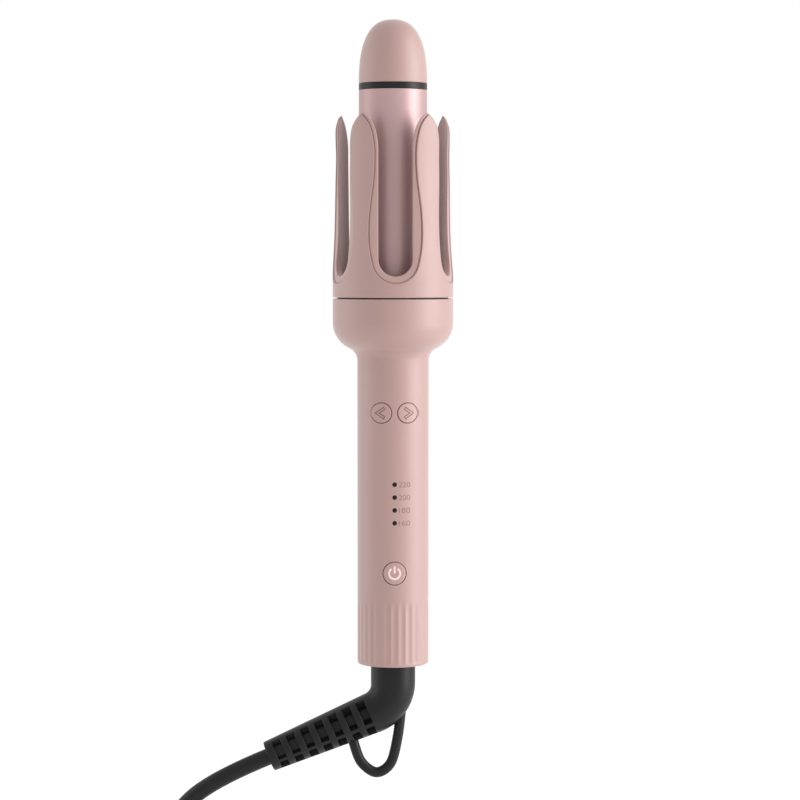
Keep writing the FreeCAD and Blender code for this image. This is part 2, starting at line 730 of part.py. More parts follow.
def face_edge():
    """Half of the wider opening in the petals' raised outer faces."""
    half_s = ("(face_wide + face_waist) / 2", "(face_wide_z + face_waist_z) / 2")
    return [
        ("0", "face_low_z", "face_low_r"),
        ("face_low_x", "face_low_bend_z", "face_wide_r"),
        ("face_wide", "face_wide_z", "face_s_r"),
        (*half_s, "-face_s_r"),
        ("face_waist", "face_waist_z", "-face_side_r"),
        ("face_bend_x", "face_bend_z", "-face_tip_r"),
        ("face_tip_x", "face_tip_z"),
        ("face_tip_x + 2", "petal_tip_z + 4"),
    ]


def mirrored(edge):
    """The whole outline of an opening whose right half is given from the bottom up."""
    left = []
    for index in range(len(edge) - 1, 0, -1):
        across, up = edge[index][:2]
        bend = edge[index - 1][2:]
        left.append((f"-({across})", up, *bend))
    return edge + left


def slotted(section, edge):
    """A turned cup with the same opening cut between each two petals."""
    body = turned(section)
    pocket = body.newObject("PartDesign::Pocket", "slot")
    pocket.Profile = draw(sketch_on(body, "XZ_Plane"), mirrored(edge))
    pocket.Type = "ThroughAll"
    pocket.Reversed = True
    doc.recompute()
    spread = body.newObject("PartDesign::PolarPattern", "slots")
    spread.Originals = [pocket]
    spread.Axis = (plane(body, "Z_Axis"), [""])
    spread.Angle = 360
    bind(spread, Occurrences="petals")
    body.Tip = spread
    return body


def petal_cage():
    """Five petals on one skirt. Their raised outer faces stop short of the slots' edges."""
    cup = slotted(cage_section([
        ("petal_foot_r", "floor_top"),
        ("base_r + cage_bore_gap", "floor_top"),
        ("base_r + cage_bore_gap", "floor_z"),
        ("skirt_inner_r", "floor_z"),
        ("skirt_inner_r", "cage_z"),
    ], "skin_deep"), slot_edge())
    skin = slotted(cage_section([
        ("petal_foot_r + 2", "floor_top"),
        ("skirt_inner_r + 0.1", "cage_z"),
    ], "0"), face_edge())
    places = [on_circle("(ring_inner_r + ring_outer_r) / 2", turn) for turn in RING_SCREWS]
    screws = group(*[fuse(cylinder("0.8", "floor_top - floor_z", *where, "floor_z"),
                          cylinder("1.5", "1", *where, "floor_top - 1")) for where in places])
    doc.recompute()
    return feature(cup.Shape.fuse(skin.Shape).cut(screws.Shape))


# ---------------------------------------------------------------- swivel and cord guard

def swivel_socket():
    """The fixed cup in the handle's end that the cord's swivel turns in."""
    return turned([
        ("socket_bore_r", "cap_thick"), ("socket_r", "cap_thick"), ("socket_r", "socket_top"),
        ("4.5", "socket_top"), ("4.5", "socket_top - 1.6"), ("socket_bore_r", "socket_top - 1.6")])


BRUSH_LOW = "9.4"
BRUSH_HIGH = "15.4"


def brushes():
    """The two spring contacts that ride on the slip rings."""
    reach = "socket_bore_r - slip_r - brush_gap"
    right = block(reach, "3", "2", f"slip_r + brush_gap + ({reach}) / 2", "-1.5", BRUSH_LOW)
    left = block(reach, "3", "2", f"-slip_r - brush_gap - ({reach}) / 2", "-1.5", BRUSH_HIGH)
    return group(right, left)


def swivel_core():
    return turned([
        ("0", "cap_thick"), ("guard_r - 1", "cap_thick"), ("guard_r - 1", "cap_thick + 0.4"),
        ("core_flange_r", "cap_thick + 0.4"), ("core_flange_r", "cap_thick + 2.2"),
        ("core_r", "cap_thick + 2.2"), ("core_r", "core_top"), ("0", "core_top")])


def slip_rings():
    return group(*[ring("core_r", "slip_r", f"{low} - 0.5", f"{low} + 2.5")
                   for low in (BRUSH_LOW, BRUSH_HIGH)])


def guard_frame():
    """The guard's line: its corner under the handle, its direction and the way across it."""
    corner = point("0", "0", "guard_corner_z")
    dip = math.radians(value("guard_dip"))
    along = FreeCAD.Vector(-math.cos(dip), 0, -math.sin(dip))
    across = FreeCAD.Vector(-math.sin(dip), 0, math.cos(dip))
    return corner, along, across


def disc_wire(centre, facing, radius):
    return Part.Wire(Part.Circle(centre, facing, radius).toShape())


def guard_bend():
    """The guard's elbow, which narrows as it turns."""
    corner, along, _ = guard_frame()
    down = FreeCAD.Vector(0, 0, -1)
    turn = down.getAngle(along)
    bend = value("guard_bend_r")
    reach = bend * math.tan(turn / 2)
    middle = corner - down * reach + FreeCAD.Vector(-bend, 0, 0)
    wires = []
    count = 6
    for step in range(count + 1):
        angle = turn * step / count
        centre = middle + FreeCAD.Vector(bend * math.cos(angle), 0, -bend * math.sin(angle))
        facing = FreeCAD.Vector(-math.sin(angle), 0, -math.cos(angle))
        radius = value("guard_r") + (value("guard_mid_r") - value("guard_r")) * step / count
        wires.append(disc_wire(centre, facing, radius))
    return Part.makeLoft(wires, True, False), reach


def guard_windows():
    """Rows of openings in the guard's sides. A bridge between each two keeps it in one piece."""
    corner, along, across = guard_frame()
    slot = value("rib_slot")
    windows = []
    for row in range(7):
        reach = value("rib_start") + row * value("rib_pitch")
        share = (reach - 10) / (value("guard_long") - 10)
        radius = value("guard_mid_r") + (value("guard_tip_r") - value("guard_mid_r")) * share
        for low, high in ((-0.93, -0.5), (-0.3, 0.85)):
            for side in (-1, 1):
                deep = radius - value("rib_core_r") * 0.85
                window = Part.makeBox(slot, deep + 1, (high - low) * radius)
                start_y = value("rib_core_r") * 0.85 if side > 0 else -radius - 1
                turn = FreeCAD.Rotation(along, FreeCAD.Vector(0, 1, 0), across, "XYZ")
                origin = corner + along * (reach - slot / 2) + across * (low * radius)
                window.Placement = FreeCAD.Placement(origin + FreeCAD.Vector(0, start_y, 0), turn)
                windows.append(window)
    return Part.makeCompound(windows)


def hang_loop():
    """The ring that the tool hangs by, on the guard's underside."""
    places = [(-19.8, -31.5), (-18.2, -39.0), (-14.8, -47.2), (-7.9, -51.9), (-1.2, -47.6),
              (2.1, -35.5), (4.0, -20.5)]
    points = [FreeCAD.Vector(x, 0, z) for x, z in places]
    curve = Part.BSplineCurve()
    curve.interpolate(points)
    path = Part.Wire(curve.toShape())
    section = disc_wire(points[0], curve.tangent(curve.FirstParameter)[0], value("loop_r"))
    return path.makePipeShell([section], True, False)


def cord_guard():
    corner, along, _ = guard_frame()
    elbow, reach = guard_bend()
    stub_end = value("guard_corner_z") + reach
    stub = Part.makeCylinder(value("guard_r"), value("cap_thick") - stub_end,
                             FreeCAD.Vector(0, 0, stub_end))
    taper = Part.makeCone(value("guard_mid_r"), value("guard_tip_r"), value("guard_long") - reach,
                          corner + along * reach, along)
    solid = stub.fuse([elbow, taper, hang_loop()]).removeSplitter()
    return feature(solid.cut(guard_windows()))


# ---------------------------------------------------------------- cord

def lead_route():
    """The free cord from the guard's tip to the top of the hank."""
    corner, along, _ = guard_frame()
    start = corner + along * value("guard_long")
    dip = value("guard_dip")
    run = value("lead_run")
    back = value("hank_first_y")
    points = [start, start + along * value("lead_first_run")]
    for turned_by, drift in ((1 / 3, 0.1), (2 / 3, 0.45), (1, 0.95)):
        angle = math.radians(dip + (90 - dip) * turned_by)
        step = FreeCAD.Vector(-math.cos(angle), 0, -math.sin(angle)) * run
        points.append(points[-1] + step)
        points[-1].y = back * drift
    return points


def tail_route():
    """The cord's end, from the hank's tie down to the plug."""
    waist = value("hank_top_z - hank_run / 2")
    x = value("hank_x - 4.5")
    front = -value("hank_deep") / 2
    return [FreeCAD.Vector(x, front - 1, waist - 14), FreeCAD.Vector(x, front - 13, waist - 34),
            FreeCAD.Vector(x, front - 13, waist - 56)]


def largest_bend(before, corner, after, turn):
    """The largest arc that fits the two runs beside a corner."""
    shorter = min((corner - before).Length, (after - corner).Length)
    return 0.45 * shorter / math.tan(turn / 2)


def cord_tube(name, points):
    shape, long = tube(points, value("cord_r"), largest_bend)
    exact = math.pi * value("cord_r") ** 2 * long
    radii = [largest_bend(*three, (three[1] - three[0]).getAngle(three[2] - three[1]))
             for three in zip(points, points[1:], points[2:])]
    print(f"{name}: length {long:.1f}, arc radii {[round(radius, 1) for radius in radii]}, "
          f"volume {shape.Volume:.0f} against {exact:.0f}")
    return feature(shape)


def cord_hank():
    """The outer shape of the tied hank: two round lobes and a narrow waist."""
    lobe = "(hank_fold_r + cord_r)"
    low = "(hank_top_z - hank_run)"
    mid = "(hank_top_z - hank_run / 2)"
    lobe_edge = f"{lobe} * cos(20)"
    lobe_drop = f"{lobe} * sin(20)"
    band = "(tie_wide / 2 + 1)"
    return flat([
        (f"hank_x + {lobe_edge}", f"hank_top_z - {lobe_drop}", lobe),
        ("hank_x", f"hank_top_z + {lobe}", lobe),
        (f"hank_x - {lobe_edge}", f"hank_top_z - {lobe_drop}"),
        ("hank_x - hank_waist", f"{mid} + {band}"),
        ("hank_x - hank_waist", f"{mid} - {band}"),
        (f"hank_x - {lobe_edge}", f"{low} + {lobe_drop}", lobe),
        ("hank_x", f"{low} - {lobe}", lobe),
        (f"hank_x + {lobe_edge}", f"{low} + {lobe_drop}"),
        ("hank_x + hank_waist", f"{mid} - {band}"),
        ("hank_x + hank_waist", f"{mid} + {band}"),
    ], "XZ_Plane", "hank_deep / 2", "hank_deep")


def cord_tie():
    low = "hank_top_z - hank_run / 2 - tie_wide / 2"
    band = block("2 * (hank_waist + tie_thick)", "hank_deep + 2 * tie_thick", "tie_wide", "hank_x",
                 "-hank_deep / 2 - tie_thick", low)
    hole = block("2 * hank_waist", "hank_deep", "tie_wide", "hank_x", "-hank_deep / 2", low)
    return cut(band, hole)


def plug_top():
    end = tail_route()[-1]
    return end.x, end.y, end.z


def plug_body():
    """A flat two-pin plug, hanging pins down, with its cord entering at the top."""
    x, y, z = plug_top()
    neck = Part.makeCone(6.6, 5.0, 12, FreeCAD.Vector(x, y, z - 12))
    wide = value("plug_wide")
    thick = value("plug_thick")
    long = value("plug_long")
    grip = Part.makeBox(wide, thick, long - 12, FreeCAD.Vector(x - wide / 2, y - thick / 2, z - long))
    edges = [edge for edge in grip.Edges if abs(edge.tangentAt(edge.FirstParameter).z) > 0.9]
    return feature(grip.makeFillet(6.0, edges).fuse(neck).removeSplitter())


def plug_pins():
    x, y, z = plug_top()
    long = value("plug_pin_long")
    pins = []
    for side in (-1, 1):
        centre = FreeCAD.Vector(x + side * value("plug_pin_gap") / 2, y, z - value("plug_long") - long)
        pins.append(Part.makeCylinder(value("plug_pin_r"), long, centre))
    return feature(Part.makeCompound(pins))


# ---------------------------------------------------------------- internal leads

def wire(radius, *places):
    points = [point(*place) for place in places]
    shape, _ = tube(points, radius, lambda *corner: min(4.0, largest_bend(*corner)))
    return shape


def heater_leads():
    """Two leads from the power board, round the motor and up through the barrel's base."""
    pair = []
    for x in ("1.1", "-1.1"):
        pair.append(wire(1.0, (x, "power_y", "power_high - 2"), (x, "-1.5", "power_high - 2"),
                         (x, "-1.5", "control_high + 2"), (x, "-lead_hole_y", "control_high + 12"),
                         (x, "-lead_hole_y", "heater_low")))
    return feature(Part.makeCompound(pair))


def motor_leads():
    """Two short leads from the motor's tabs to the power board's back."""
    top = "plate_z - gearbox_long - motor_long - 3"
    back = f"{PINION_Y} + 1.6"
    pair = []
    for x in ("4", "-4"):
        pair.append(wire(0.7, (x, f"{PINION_Y} + 0.2", top), (x, back, f"{top} - 4"),
                         (x, back, f"{top} - 9"), (x, "power_y + board_thick", f"{top} - 9")))
    return feature(Part.makeCompound(pair))


# ---------------------------------------------------------------- the whole tool

def build():
    named(shell(True), "front_shell")
    named(shell(False), "rear_shell")
    named(shell_screws(), "shell_screws")
    named(end_cap(), "end_cap")
    named(button("arrow_r", "-arrow_x", "arrow_z"), "left_button")
    named(button("arrow_r", "arrow_x", "arrow_z"), "right_button")
    named(button("power_r", "0", "power_z"), "power_button")
    named(tact_switches(), "tact_switches")
    named(lamp_pipes(), "lamp_pipes")
    named(lamp_chips(), "lamp_chips")
    named(control_board(), "control_board")
    named(control_screws(), "control_screws")
    named(control_chip(), "control_chip")
    named(power_board(), "power_board")
    named(power_screws(), "power_screws")
    named(board_parts(), "board_parts")
    named(smoothing_capacitor(), "smoothing_capacitor")
    named(gear_plate(), "gear_plate")
    named(motor(), "motor")
    named(gearbox(), "gearbox")
    named(motor_screws(), "motor_screws")
    named(output_shaft(), "output_shaft")
    named(gear("pinion_teeth", "shaft_r", PINION_Y, 90.0), "drive_pinion")
    named(idler_axle(), "idler_axle")
    named(idler_washer(), "idler_washer")
    named(gear("idler_teeth", "axle_r + running_gap", IDLER_Y, 90.0), "idler_gear")
    named(ring_gear(), "ring_gear")
    named(ring_screws(), "ring_screws")
    named(petal_cage(), "petal_cage")
    named(barrel_base(), "barrel_base")
    named(base_screws(), "base_screws")
    named(retaining_clip(), "retaining_clip")
    named(barrel_tube(), "barrel_tube")
    named(tip_ring(), "tip_ring")
    named(tip_cap(), "tip_cap")
    named(heat_spreader(-1), "front_heat_spreader")
    named(heat_spreader(1), "rear_heat_spreader")
    named(heater_ceramics(), "heater_ceramics")
    named(temperature_sensor(), "temperature_sensor")
    named(thermal_fuse(), "thermal_fuse")
    named(swivel_socket(), "swivel_socket")
    named(brushes(), "brushes")
    named(swivel_core(), "swivel_core")
    named(slip_rings(), "slip_rings")
    named(cord_guard(), "cord_guard")
    named(cord_tube("cord_lead", lead_route()), "cord_lead")
    named(cord_hank(), "cord_hank")
    named(cord_tie(), "cord_tie")
    named(cord_tube("cord_tail", tail_route()), "cord_tail")
    named(plug_body(), "plug_body")
    named(plug_pins(), "plug_pins")
    named(heater_leads(), "heater_leads")
    named(motor_leads(), "motor_leads")


def check():
    doc.recompute()
    for thing in doc.Objects:
        if {"Invalid", "Error"} & set(thing.State):
            raise RuntimeError(f"{thing.Label} ({thing.TypeId}) is {thing.State}")
    for thing in subparts:
        if thing.Shape.isNull() or not thing.Shape.isValid() or not thing.Shape.Solids:
            raise RuntimeError(f"{thing.Label} has no sound solid")


def export():
    os.makedirs("parts", exist_ok=True)
    for thing in subparts:
        thing.Shape.exportStep(f"parts/{thing.Label}.step")
    print(f"{len(subparts)} sub-parts written")


build()
check()
export()
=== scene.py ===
import bmesh
import bpy
import math
import random
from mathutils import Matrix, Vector


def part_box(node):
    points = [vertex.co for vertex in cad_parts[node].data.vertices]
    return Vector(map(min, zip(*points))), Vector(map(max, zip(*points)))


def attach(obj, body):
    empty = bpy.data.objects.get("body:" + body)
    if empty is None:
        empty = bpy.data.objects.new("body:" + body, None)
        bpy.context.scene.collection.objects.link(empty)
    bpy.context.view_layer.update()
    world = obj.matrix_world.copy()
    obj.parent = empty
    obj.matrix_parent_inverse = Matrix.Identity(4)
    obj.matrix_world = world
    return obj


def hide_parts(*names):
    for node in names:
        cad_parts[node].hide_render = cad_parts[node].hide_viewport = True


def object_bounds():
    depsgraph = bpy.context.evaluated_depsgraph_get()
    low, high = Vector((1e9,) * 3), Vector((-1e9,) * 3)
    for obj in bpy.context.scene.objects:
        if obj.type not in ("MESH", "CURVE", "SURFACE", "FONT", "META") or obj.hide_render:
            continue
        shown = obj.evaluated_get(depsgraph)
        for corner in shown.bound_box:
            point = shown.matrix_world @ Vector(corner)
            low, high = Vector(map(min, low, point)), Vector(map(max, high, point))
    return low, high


# Looks of the automatic hair curler: its skins, its controls, its petal cage, its cord and plug,
# and the finish of every part. Lengths are in millimetres until a mesh is made. Blender's are in
# metres. Z is the barrel's axis, and the controls face -Y.

MM = 0.001
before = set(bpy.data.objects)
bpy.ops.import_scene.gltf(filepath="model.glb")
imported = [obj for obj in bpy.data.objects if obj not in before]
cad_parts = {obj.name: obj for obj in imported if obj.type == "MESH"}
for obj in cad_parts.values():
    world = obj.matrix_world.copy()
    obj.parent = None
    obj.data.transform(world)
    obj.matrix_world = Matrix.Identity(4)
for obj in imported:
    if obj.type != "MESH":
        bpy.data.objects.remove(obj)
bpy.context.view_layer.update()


def box(node):
    """A CAD node's lowest and highest corners, in millimetres."""
    low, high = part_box(node)
    return low / MM, high / MM


# ---------------------------------------------------------------- camera

AIM = Vector((0.0033, 0, 0.1245))
EYE_HEIGHT = 0.191
EYE_DISTANCE = 1.34
EYE_TURN = math.radians(-2.8)
VIEW_WIDTH = 0.376


def add_camera():
    """The camera at the photo's angle, far off and a little to the left."""
    data = bpy.data.cameras.new("camera")
    data.lens = data.sensor_width * EYE_DISTANCE / VIEW_WIDTH
    camera = bpy.data.objects.new("camera", data)
    camera.location = (AIM.x + EYE_DISTANCE * math.sin(EYE_TURN),
                       AIM.y - EYE_DISTANCE * math.cos(EYE_TURN), EYE_HEIGHT)
    camera.rotation_mode = "QUATERNION"
    camera.rotation_quaternion = (AIM - camera.location).to_track_quat("-Z", "Y")
    bpy.context.scene.collection.objects.link(camera)
    bpy.context.scene.camera = camera


# ---------------------------------------------------------------- materials

def linear(red, green, blue):
    """A colour given in sRGB from 0 to 255, as the shader wants it."""
    parts = [part / 255 for part in (red, green, blue)]
    return (*[part / 12.92 if part <= 0.04045 else ((part + 0.055) / 1.055) ** 2.4
              for part in parts], 1)


class Finish:
    """A material being put together: a Principled shader with noise for colour, gloss and relief."""

    def __init__(self, name, colour, rough):
        self.material = bpy.data.materials.new(name)
        self.material.use_nodes = True
        self.tree = self.material.node_tree
        self.shader = self.tree.nodes["Principled BSDF"]
        self.colour = linear(*colour)
        self.shader.inputs["Base Color"].default_value = self.colour
        self.shader.inputs["Roughness"].default_value = rough
        self.rough = rough
        self.place = self.tree.nodes.new("ShaderNodeTexCoord").outputs["Object"]
        self.relief = None

    def link(self, out, into):
        self.tree.links.new(out, into)

    def scaled(self, stretch):
        """The place on the object, stretched along its axes."""
        mapping = self.tree.nodes.new("ShaderNodeMapping")
        mapping.inputs["Scale"].default_value = stretch
        self.link(self.place, mapping.inputs["Vector"])
        return mapping.outputs["Vector"]

    def noise(self, size, detail=2.0, stretch=(1, 1, 1)):
        """Noise whose lumps are about size millimetres wide."""
        node = self.tree.nodes.new("ShaderNodeTexNoise")
        node.inputs["Scale"].default_value = 1 / (size * MM)
        node.inputs["Detail"].default_value = detail
        self.link(self.scaled(stretch), node.inputs["Vector"])
        return node.outputs["Fac"]

    def cells(self, size):
        node = self.tree.nodes.new("ShaderNodeTexVoronoi")
        node.inputs["Scale"].default_value = 1 / (size * MM)
        self.link(self.place, node.inputs["Vector"])
        return node.outputs["Distance"]

    def waves(self, size, direction, profile="SIN"):
        node = self.tree.nodes.new("ShaderNodeTexWave")
        node.bands_direction = direction
        node.wave_profile = profile
        node.inputs["Scale"].default_value = math.pi / (10 * size * MM)
        self.link(self.place, node.inputs["Vector"])
        return node.outputs["Fac"]

    def tint(self, amount, size, other=None, detail=2.0, stretch=(1, 1, 1)):
        """Let the colour wander between two near shades."""
        mix = self.tree.nodes.new("ShaderNodeMix")
        mix.data_type = "RGBA"
        dark = [part * (1 - amount) for part in self.colour[:3]]
        light = [min(part * (1 + amount), 1) for part in self.colour[:3]]
        mix.inputs[6].default_value = (*dark, 1)
        mix.inputs[7].default_value = linear(*other) if other else (*light, 1)
        self.link(self.noise(size, detail, stretch), mix.inputs[0])
        self.link(mix.outputs[2], self.shader.inputs["Base Color"])
        return self

    def gloss(self, spread, size, stretch=(1, 1, 1)):
        """Let the roughness vary by spread either way."""
        node = self.tree.nodes.new("ShaderNodeMapRange")
        node.inputs["To Min"].default_value = max(self.rough - spread, 0.02)
        node.inputs["To Max"].default_value = min(self.rough + spread, 1)
        self.link(self.noise(size, 3.0, stretch), node.inputs["Value"])
        self.link(node.outputs["Result"], self.shader.inputs["Roughness"])
        return self

    def bump(self, height, pattern):
        """Add relief of that height in millimetres."""
        node = self.tree.nodes.new("ShaderNodeBump")
        node.inputs["Distance"].default_value = height * MM
        node.inputs["Strength"].default_value = 1.0
        self.link(pattern, node.inputs["Height"])
        if self.relief:
            self.link(self.relief, node.inputs["Normal"])
        self.relief = node.outputs["Normal"]
        self.link(self.relief, self.shader.inputs["Normal"])
        return self

    def set(self, **values):
        for name, number in values.items():
            self.shader.inputs[name.replace("_", " ")].default_value = number
        return self


def soft_pink(name, colour, rough, sheen=0.3):
    """Soft-touch moulded plastic: a fine eggshell grain under a dry sheen and a broad gloss."""
    finish = Finish(name, colour, rough).tint(0.02, 22).gloss(0.04, 9)
    finish.bump(0.006, finish.noise(0.16, 3)).bump(0.004, finish.noise(1.1, 2))
    finish.set(Sheen_Weight=sheen, Sheen_Roughness=0.45, Sheen_Tint=(1, 0.95, 0.94, 1),
               Specular_IOR_Level=0.8, Coat_Weight=0.6, Coat_Roughness=0.55)
    return finish.material


def pearl(name):
    """The barrel's ceramic glaze, with tiny bright flakes."""
    finish = Finish(name, (172, 142, 142), 0.46).tint(0.06, 0.35, detail=4).gloss(0.05, 0.5)
    finish.bump(0.0015, finish.cells(0.25)).bump(0.004, finish.noise(6))
    finish.set(Metallic=0.5, Coat_Weight=0.15, Coat_Roughness=0.4, Specular_IOR_Level=0.5)
    return finish.material


def black(name, colour, rough, grain, height):
    """Black rubber or plastic with a grain of that size and height."""
    finish = Finish(name, colour, rough).tint(0.12, 5).gloss(0.07, 2.5)
    finish.bump(height, finish.noise(grain, 4))
    finish.set(Specular_IOR_Level=0.25)
    return finish.material


def woven(name):
    """The tie's hook tape: short dark loops across a webbing."""
    finish = Finish(name, (17, 17, 18), 0.85).tint(0.3, 0.5, detail=4)
    finish.bump(0.12, finish.waves(0.55, "Z")).bump(0.15, finish.cells(0.5))
    finish.set(Sheen_Weight=0.2, Sheen_Roughness=0.5, Specular_IOR_Level=0.2)
    return finish.material


def metal(name, colour, rough, stretch=(1, 1, 1)):
    """Metal with the fine marks of its making along one way."""
    finish = Finish(name, colour, rough).tint(0.06, 1.5, stretch=stretch)
    finish.gloss(0.08, 1.0, stretch).bump(0.002, finish.noise(0.3, 2, stretch))
    finish.set(Metallic=1.0)
    return finish.material


def moulded(name, colour, rough=0.5, grain=0.3):
    """Plain moulded plastic or ceramic, as inside the housing."""
    finish = Finish(name, colour, rough).tint(0.05, 4).gloss(0.06, 2)
    finish.bump(0.008, finish.noise(grain, 3))
    return finish.material


def circuit(name):
    """Green solder mask over faint copper tracks."""
    finish = Finish(name, (28, 92, 58), 0.35).tint(0.15, 2.2, (60, 128, 84), detail=1)
    finish.bump(0.02, finish.waves(1.1, "X", "SAW"))
    finish.set(Coat_Weight=0.4, Coat_Roughness=0.2)
    return finish.material


def ink(name, colour):
    """Printed marks: flat, dry ink with a slightly broken surface."""
    finish = Finish(name, colour, 0.6).tint(0.06, 0.3).gloss(0.1, 0.5)
    finish.bump(0.002, finish.noise(0.1))
    return finish.material


def make_materials():
    return {
        "shell_pink": soft_pink("shell_pink", (153, 119, 113), 0.55),
        "cage_pink": soft_pink("cage_pink", (153, 119, 113), 0.55),
        "tip_pink": soft_pink("tip_pink", (153, 119, 113), 0.55),
        "button_pink": soft_pink("button_pink", (156, 122, 116), 0.55),
        "barrel_pearl": pearl("barrel_pearl"),
        "ring_black": black("ring_black", (18, 18, 18), 0.38, 0.3, 0.004),
        "lamp_black": black("lamp_black", (4, 4, 4), 0.2, 2.0, 0.001),
        "rubber_black": black("rubber_black", (12, 12, 12), 0.42, 0.2, 0.012),
        "cord_black": black("cord_black", (11, 11, 11), 0.4, 0.25, 0.012),
        "plug_black": black("plug_black", (12, 12, 12), 0.45, 0.18, 0.014),
        "chip_black": black("chip_black", (26, 26, 28), 0.5, 0.1, 0.006),
        "tie_black": woven("tie_black"),
        "pin_nickel": metal("pin_nickel", (206, 204, 198), 0.25, (1, 1, 0.1)),
        "steel": metal("steel", (178, 180, 184), 0.32, (1, 1, 0.1)),
        "spreader_metal": metal("spreader_metal", (196, 197, 200), 0.45, (1, 1, 0.05)),
        "brass": metal("brass", (196, 160, 92), 0.3, (1, 1, 0.2)),
        "gear_black": black("gear_black", (20, 20, 20), 0.45, 0.3, 0.006),
        "base_cream": moulded("base_cream", (214, 196, 186), 0.55),
        "ceramic_white": moulded("ceramic_white", (232, 230, 224), 0.6, 0.15),
        "nylon_grey": moulded("nylon_grey", (120, 122, 126), 0.5),
        "lead_red": moulded("lead_red", (150, 30, 28), 0.45),
        "lamp_white": moulded("lamp_white", (230, 232, 228), 0.3),
        "board_green": circuit("board_green"),
        "icon_brown": ink("icon_brown", (96, 60, 57)),
        "icon_pale": ink("icon_pale", (222, 194, 188)),
        "digit_rose": ink("digit_rose", (128, 97, 92)),
    }


MATERIALS = make_materials()


def finish_cad_nodes():
    """Give every carried-over CAD node the finish of the material that it came with."""
    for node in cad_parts.values():
        for place in node.material_slots:
            place.material = MATERIALS[place.material.name]


# ---------------------------------------------------------------- mesh helpers

def mesh_object(name, points, faces, sharp=38):
    """A mesh from points in millimetres, smooth except where its faces turn by over sharp degrees."""
    mesh = bpy.data.meshes.new(name)
    mesh.from_pydata([Vector(point) * MM for point in points], [], faces)
    work = bmesh.new()
    work.from_mesh(mesh)
    bmesh.ops.remove_doubles(work, verts=work.verts, dist=1e-6)
    bmesh.ops.dissolve_degenerate(work, edges=work.edges, dist=1e-7)
    bmesh.ops.recalc_face_normals(work, faces=work.faces)
    work.to_mesh(mesh)
    work.free()
    mesh.shade_smooth()
    mesh.set_sharp_from_angle(angle=math.radians(sharp))
    obj = bpy.data.objects.new(name, mesh)
    bpy.context.scene.collection.objects.link(obj)
    return obj


def place(obj, body, slot, *nodes, look=None):
    """Finish a piece: its material, the body that it rides on and the CAD nodes it stands for."""
    obj.data.materials.clear()
    obj.data.materials.append(MATERIALS[look or slot])
    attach(obj, body)
    if nodes:
        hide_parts(*nodes)
    return obj


def grid_faces(rows, columns, first=0, wrap_rows=False, wrap_columns=False):
    """Quads between the points of a grid whose rows follow each other in the list."""
    faces = []
    for row in range(rows if wrap_rows else rows - 1):
        below = (row + 1) % rows
        for column in range(columns if wrap_columns else columns - 1):
            right = (column + 1) % columns
            faces.append((first + row * columns + column, first + row * columns + right,
                          first + below * columns + right, first + below * columns + column))
    return faces


def arc(centre, radius, start, end, steps=8):
    """Points on a circle in a section, between two angles in degrees."""
    points = []
    for step in range(steps + 1):
        angle = math.radians(start + (end - start) * step / steps)
        points.append((centre[0] + radius * math.cos(angle), centre[1] + radius * math.sin(angle)))
    return points


def lathe(name, section, segments=160, centre=(0, 0), closed=False, sharp=38):
    """A turned piece about the upright line through centre, from (radius, z) points."""
    points = []
    for step in range(segments):
        angle = 2 * math.pi * step / segments
        points += [(centre[0] + radius * math.cos(angle), centre[1] + radius * math.sin(angle), z)
                   for radius, z in section]
    faces = grid_faces(segments, len(section), wrap_rows=True, wrap_columns=closed)
    return mesh_object(name, points, faces, sharp)


def joined(name, *pieces):
    """Several new pieces as one mesh. They have no parents yet."""
    work = bmesh.new()
    for piece in pieces:
        work.from_mesh(piece.data)
        bpy.data.objects.remove(piece)
    mesh = bpy.data.meshes.new(name)
    work.to_mesh(mesh)
    work.free()
    obj = bpy.data.objects.new(name, mesh)
    bpy.context.scene.collection.objects.link(obj)
    return obj


def cut_out(obj, cutter):
    """Take the cutter's space out of a closed mesh, and remove the cutter."""
    modifier = obj.modifiers.new("cut", "BOOLEAN")
    modifier.object = cutter
    modifier.solver = "EXACT"
    bpy.context.view_layer.update()
    ready = obj.evaluated_get(bpy.context.evaluated_depsgraph_get())
    mesh = bpy.data.meshes.new_from_object(ready)
    obj.modifiers.remove(modifier)
    obj.data = mesh
    bpy.data.objects.remove(cutter)
    mesh.shade_smooth()
    mesh.set_sharp_from_angle(angle=math.radians(38))


def ease(share):
    """A smooth step from 0 to 1."""
    share = min(max(share, 0), 1)
    return share * share * (3 - 2 * share)


def through(knots, steps):
    """A smooth line through points, with that many steps between each two."""
    points = [Vector(knot) for knot in knots]
    ends = [points[0] * 2 - points[1], *points, points[-1] * 2 - points[-2]]
    line = []
    for before, start, end, after in zip(ends, ends[1:], ends[2:], ends[3:]):
        for step in range(steps):
            t = step / steps
            line.append(0.5 * (2 * start + (end - before) * t
                               + (2 * before - 5 * start + 4 * end - after) * t * t
                               + (3 * start - before - 3 * end + after) * t ** 3))
    line.append(points[-1])
    return line


def tube(name, line, radius, side=Vector((0, 1, 0)), sides=28):
    """A round bar along a line that stays in the plane across side."""
    points = []
    for index, spot in enumerate(line):
        ahead = (line[min(index + 1, len(line) - 1)] - line[max(index - 1, 0)]).normalized()
        up = side.cross(ahead).normalized()
        for turn in range(sides):
            angle = 2 * math.pi * turn / sides
            points.append(spot + (side * math.cos(angle) + up * math.sin(angle)) * radius)
    return mesh_object(name, points, grid_faces(len(line), sides, wrap_columns=True))


# ---------------------------------------------------------------- cord

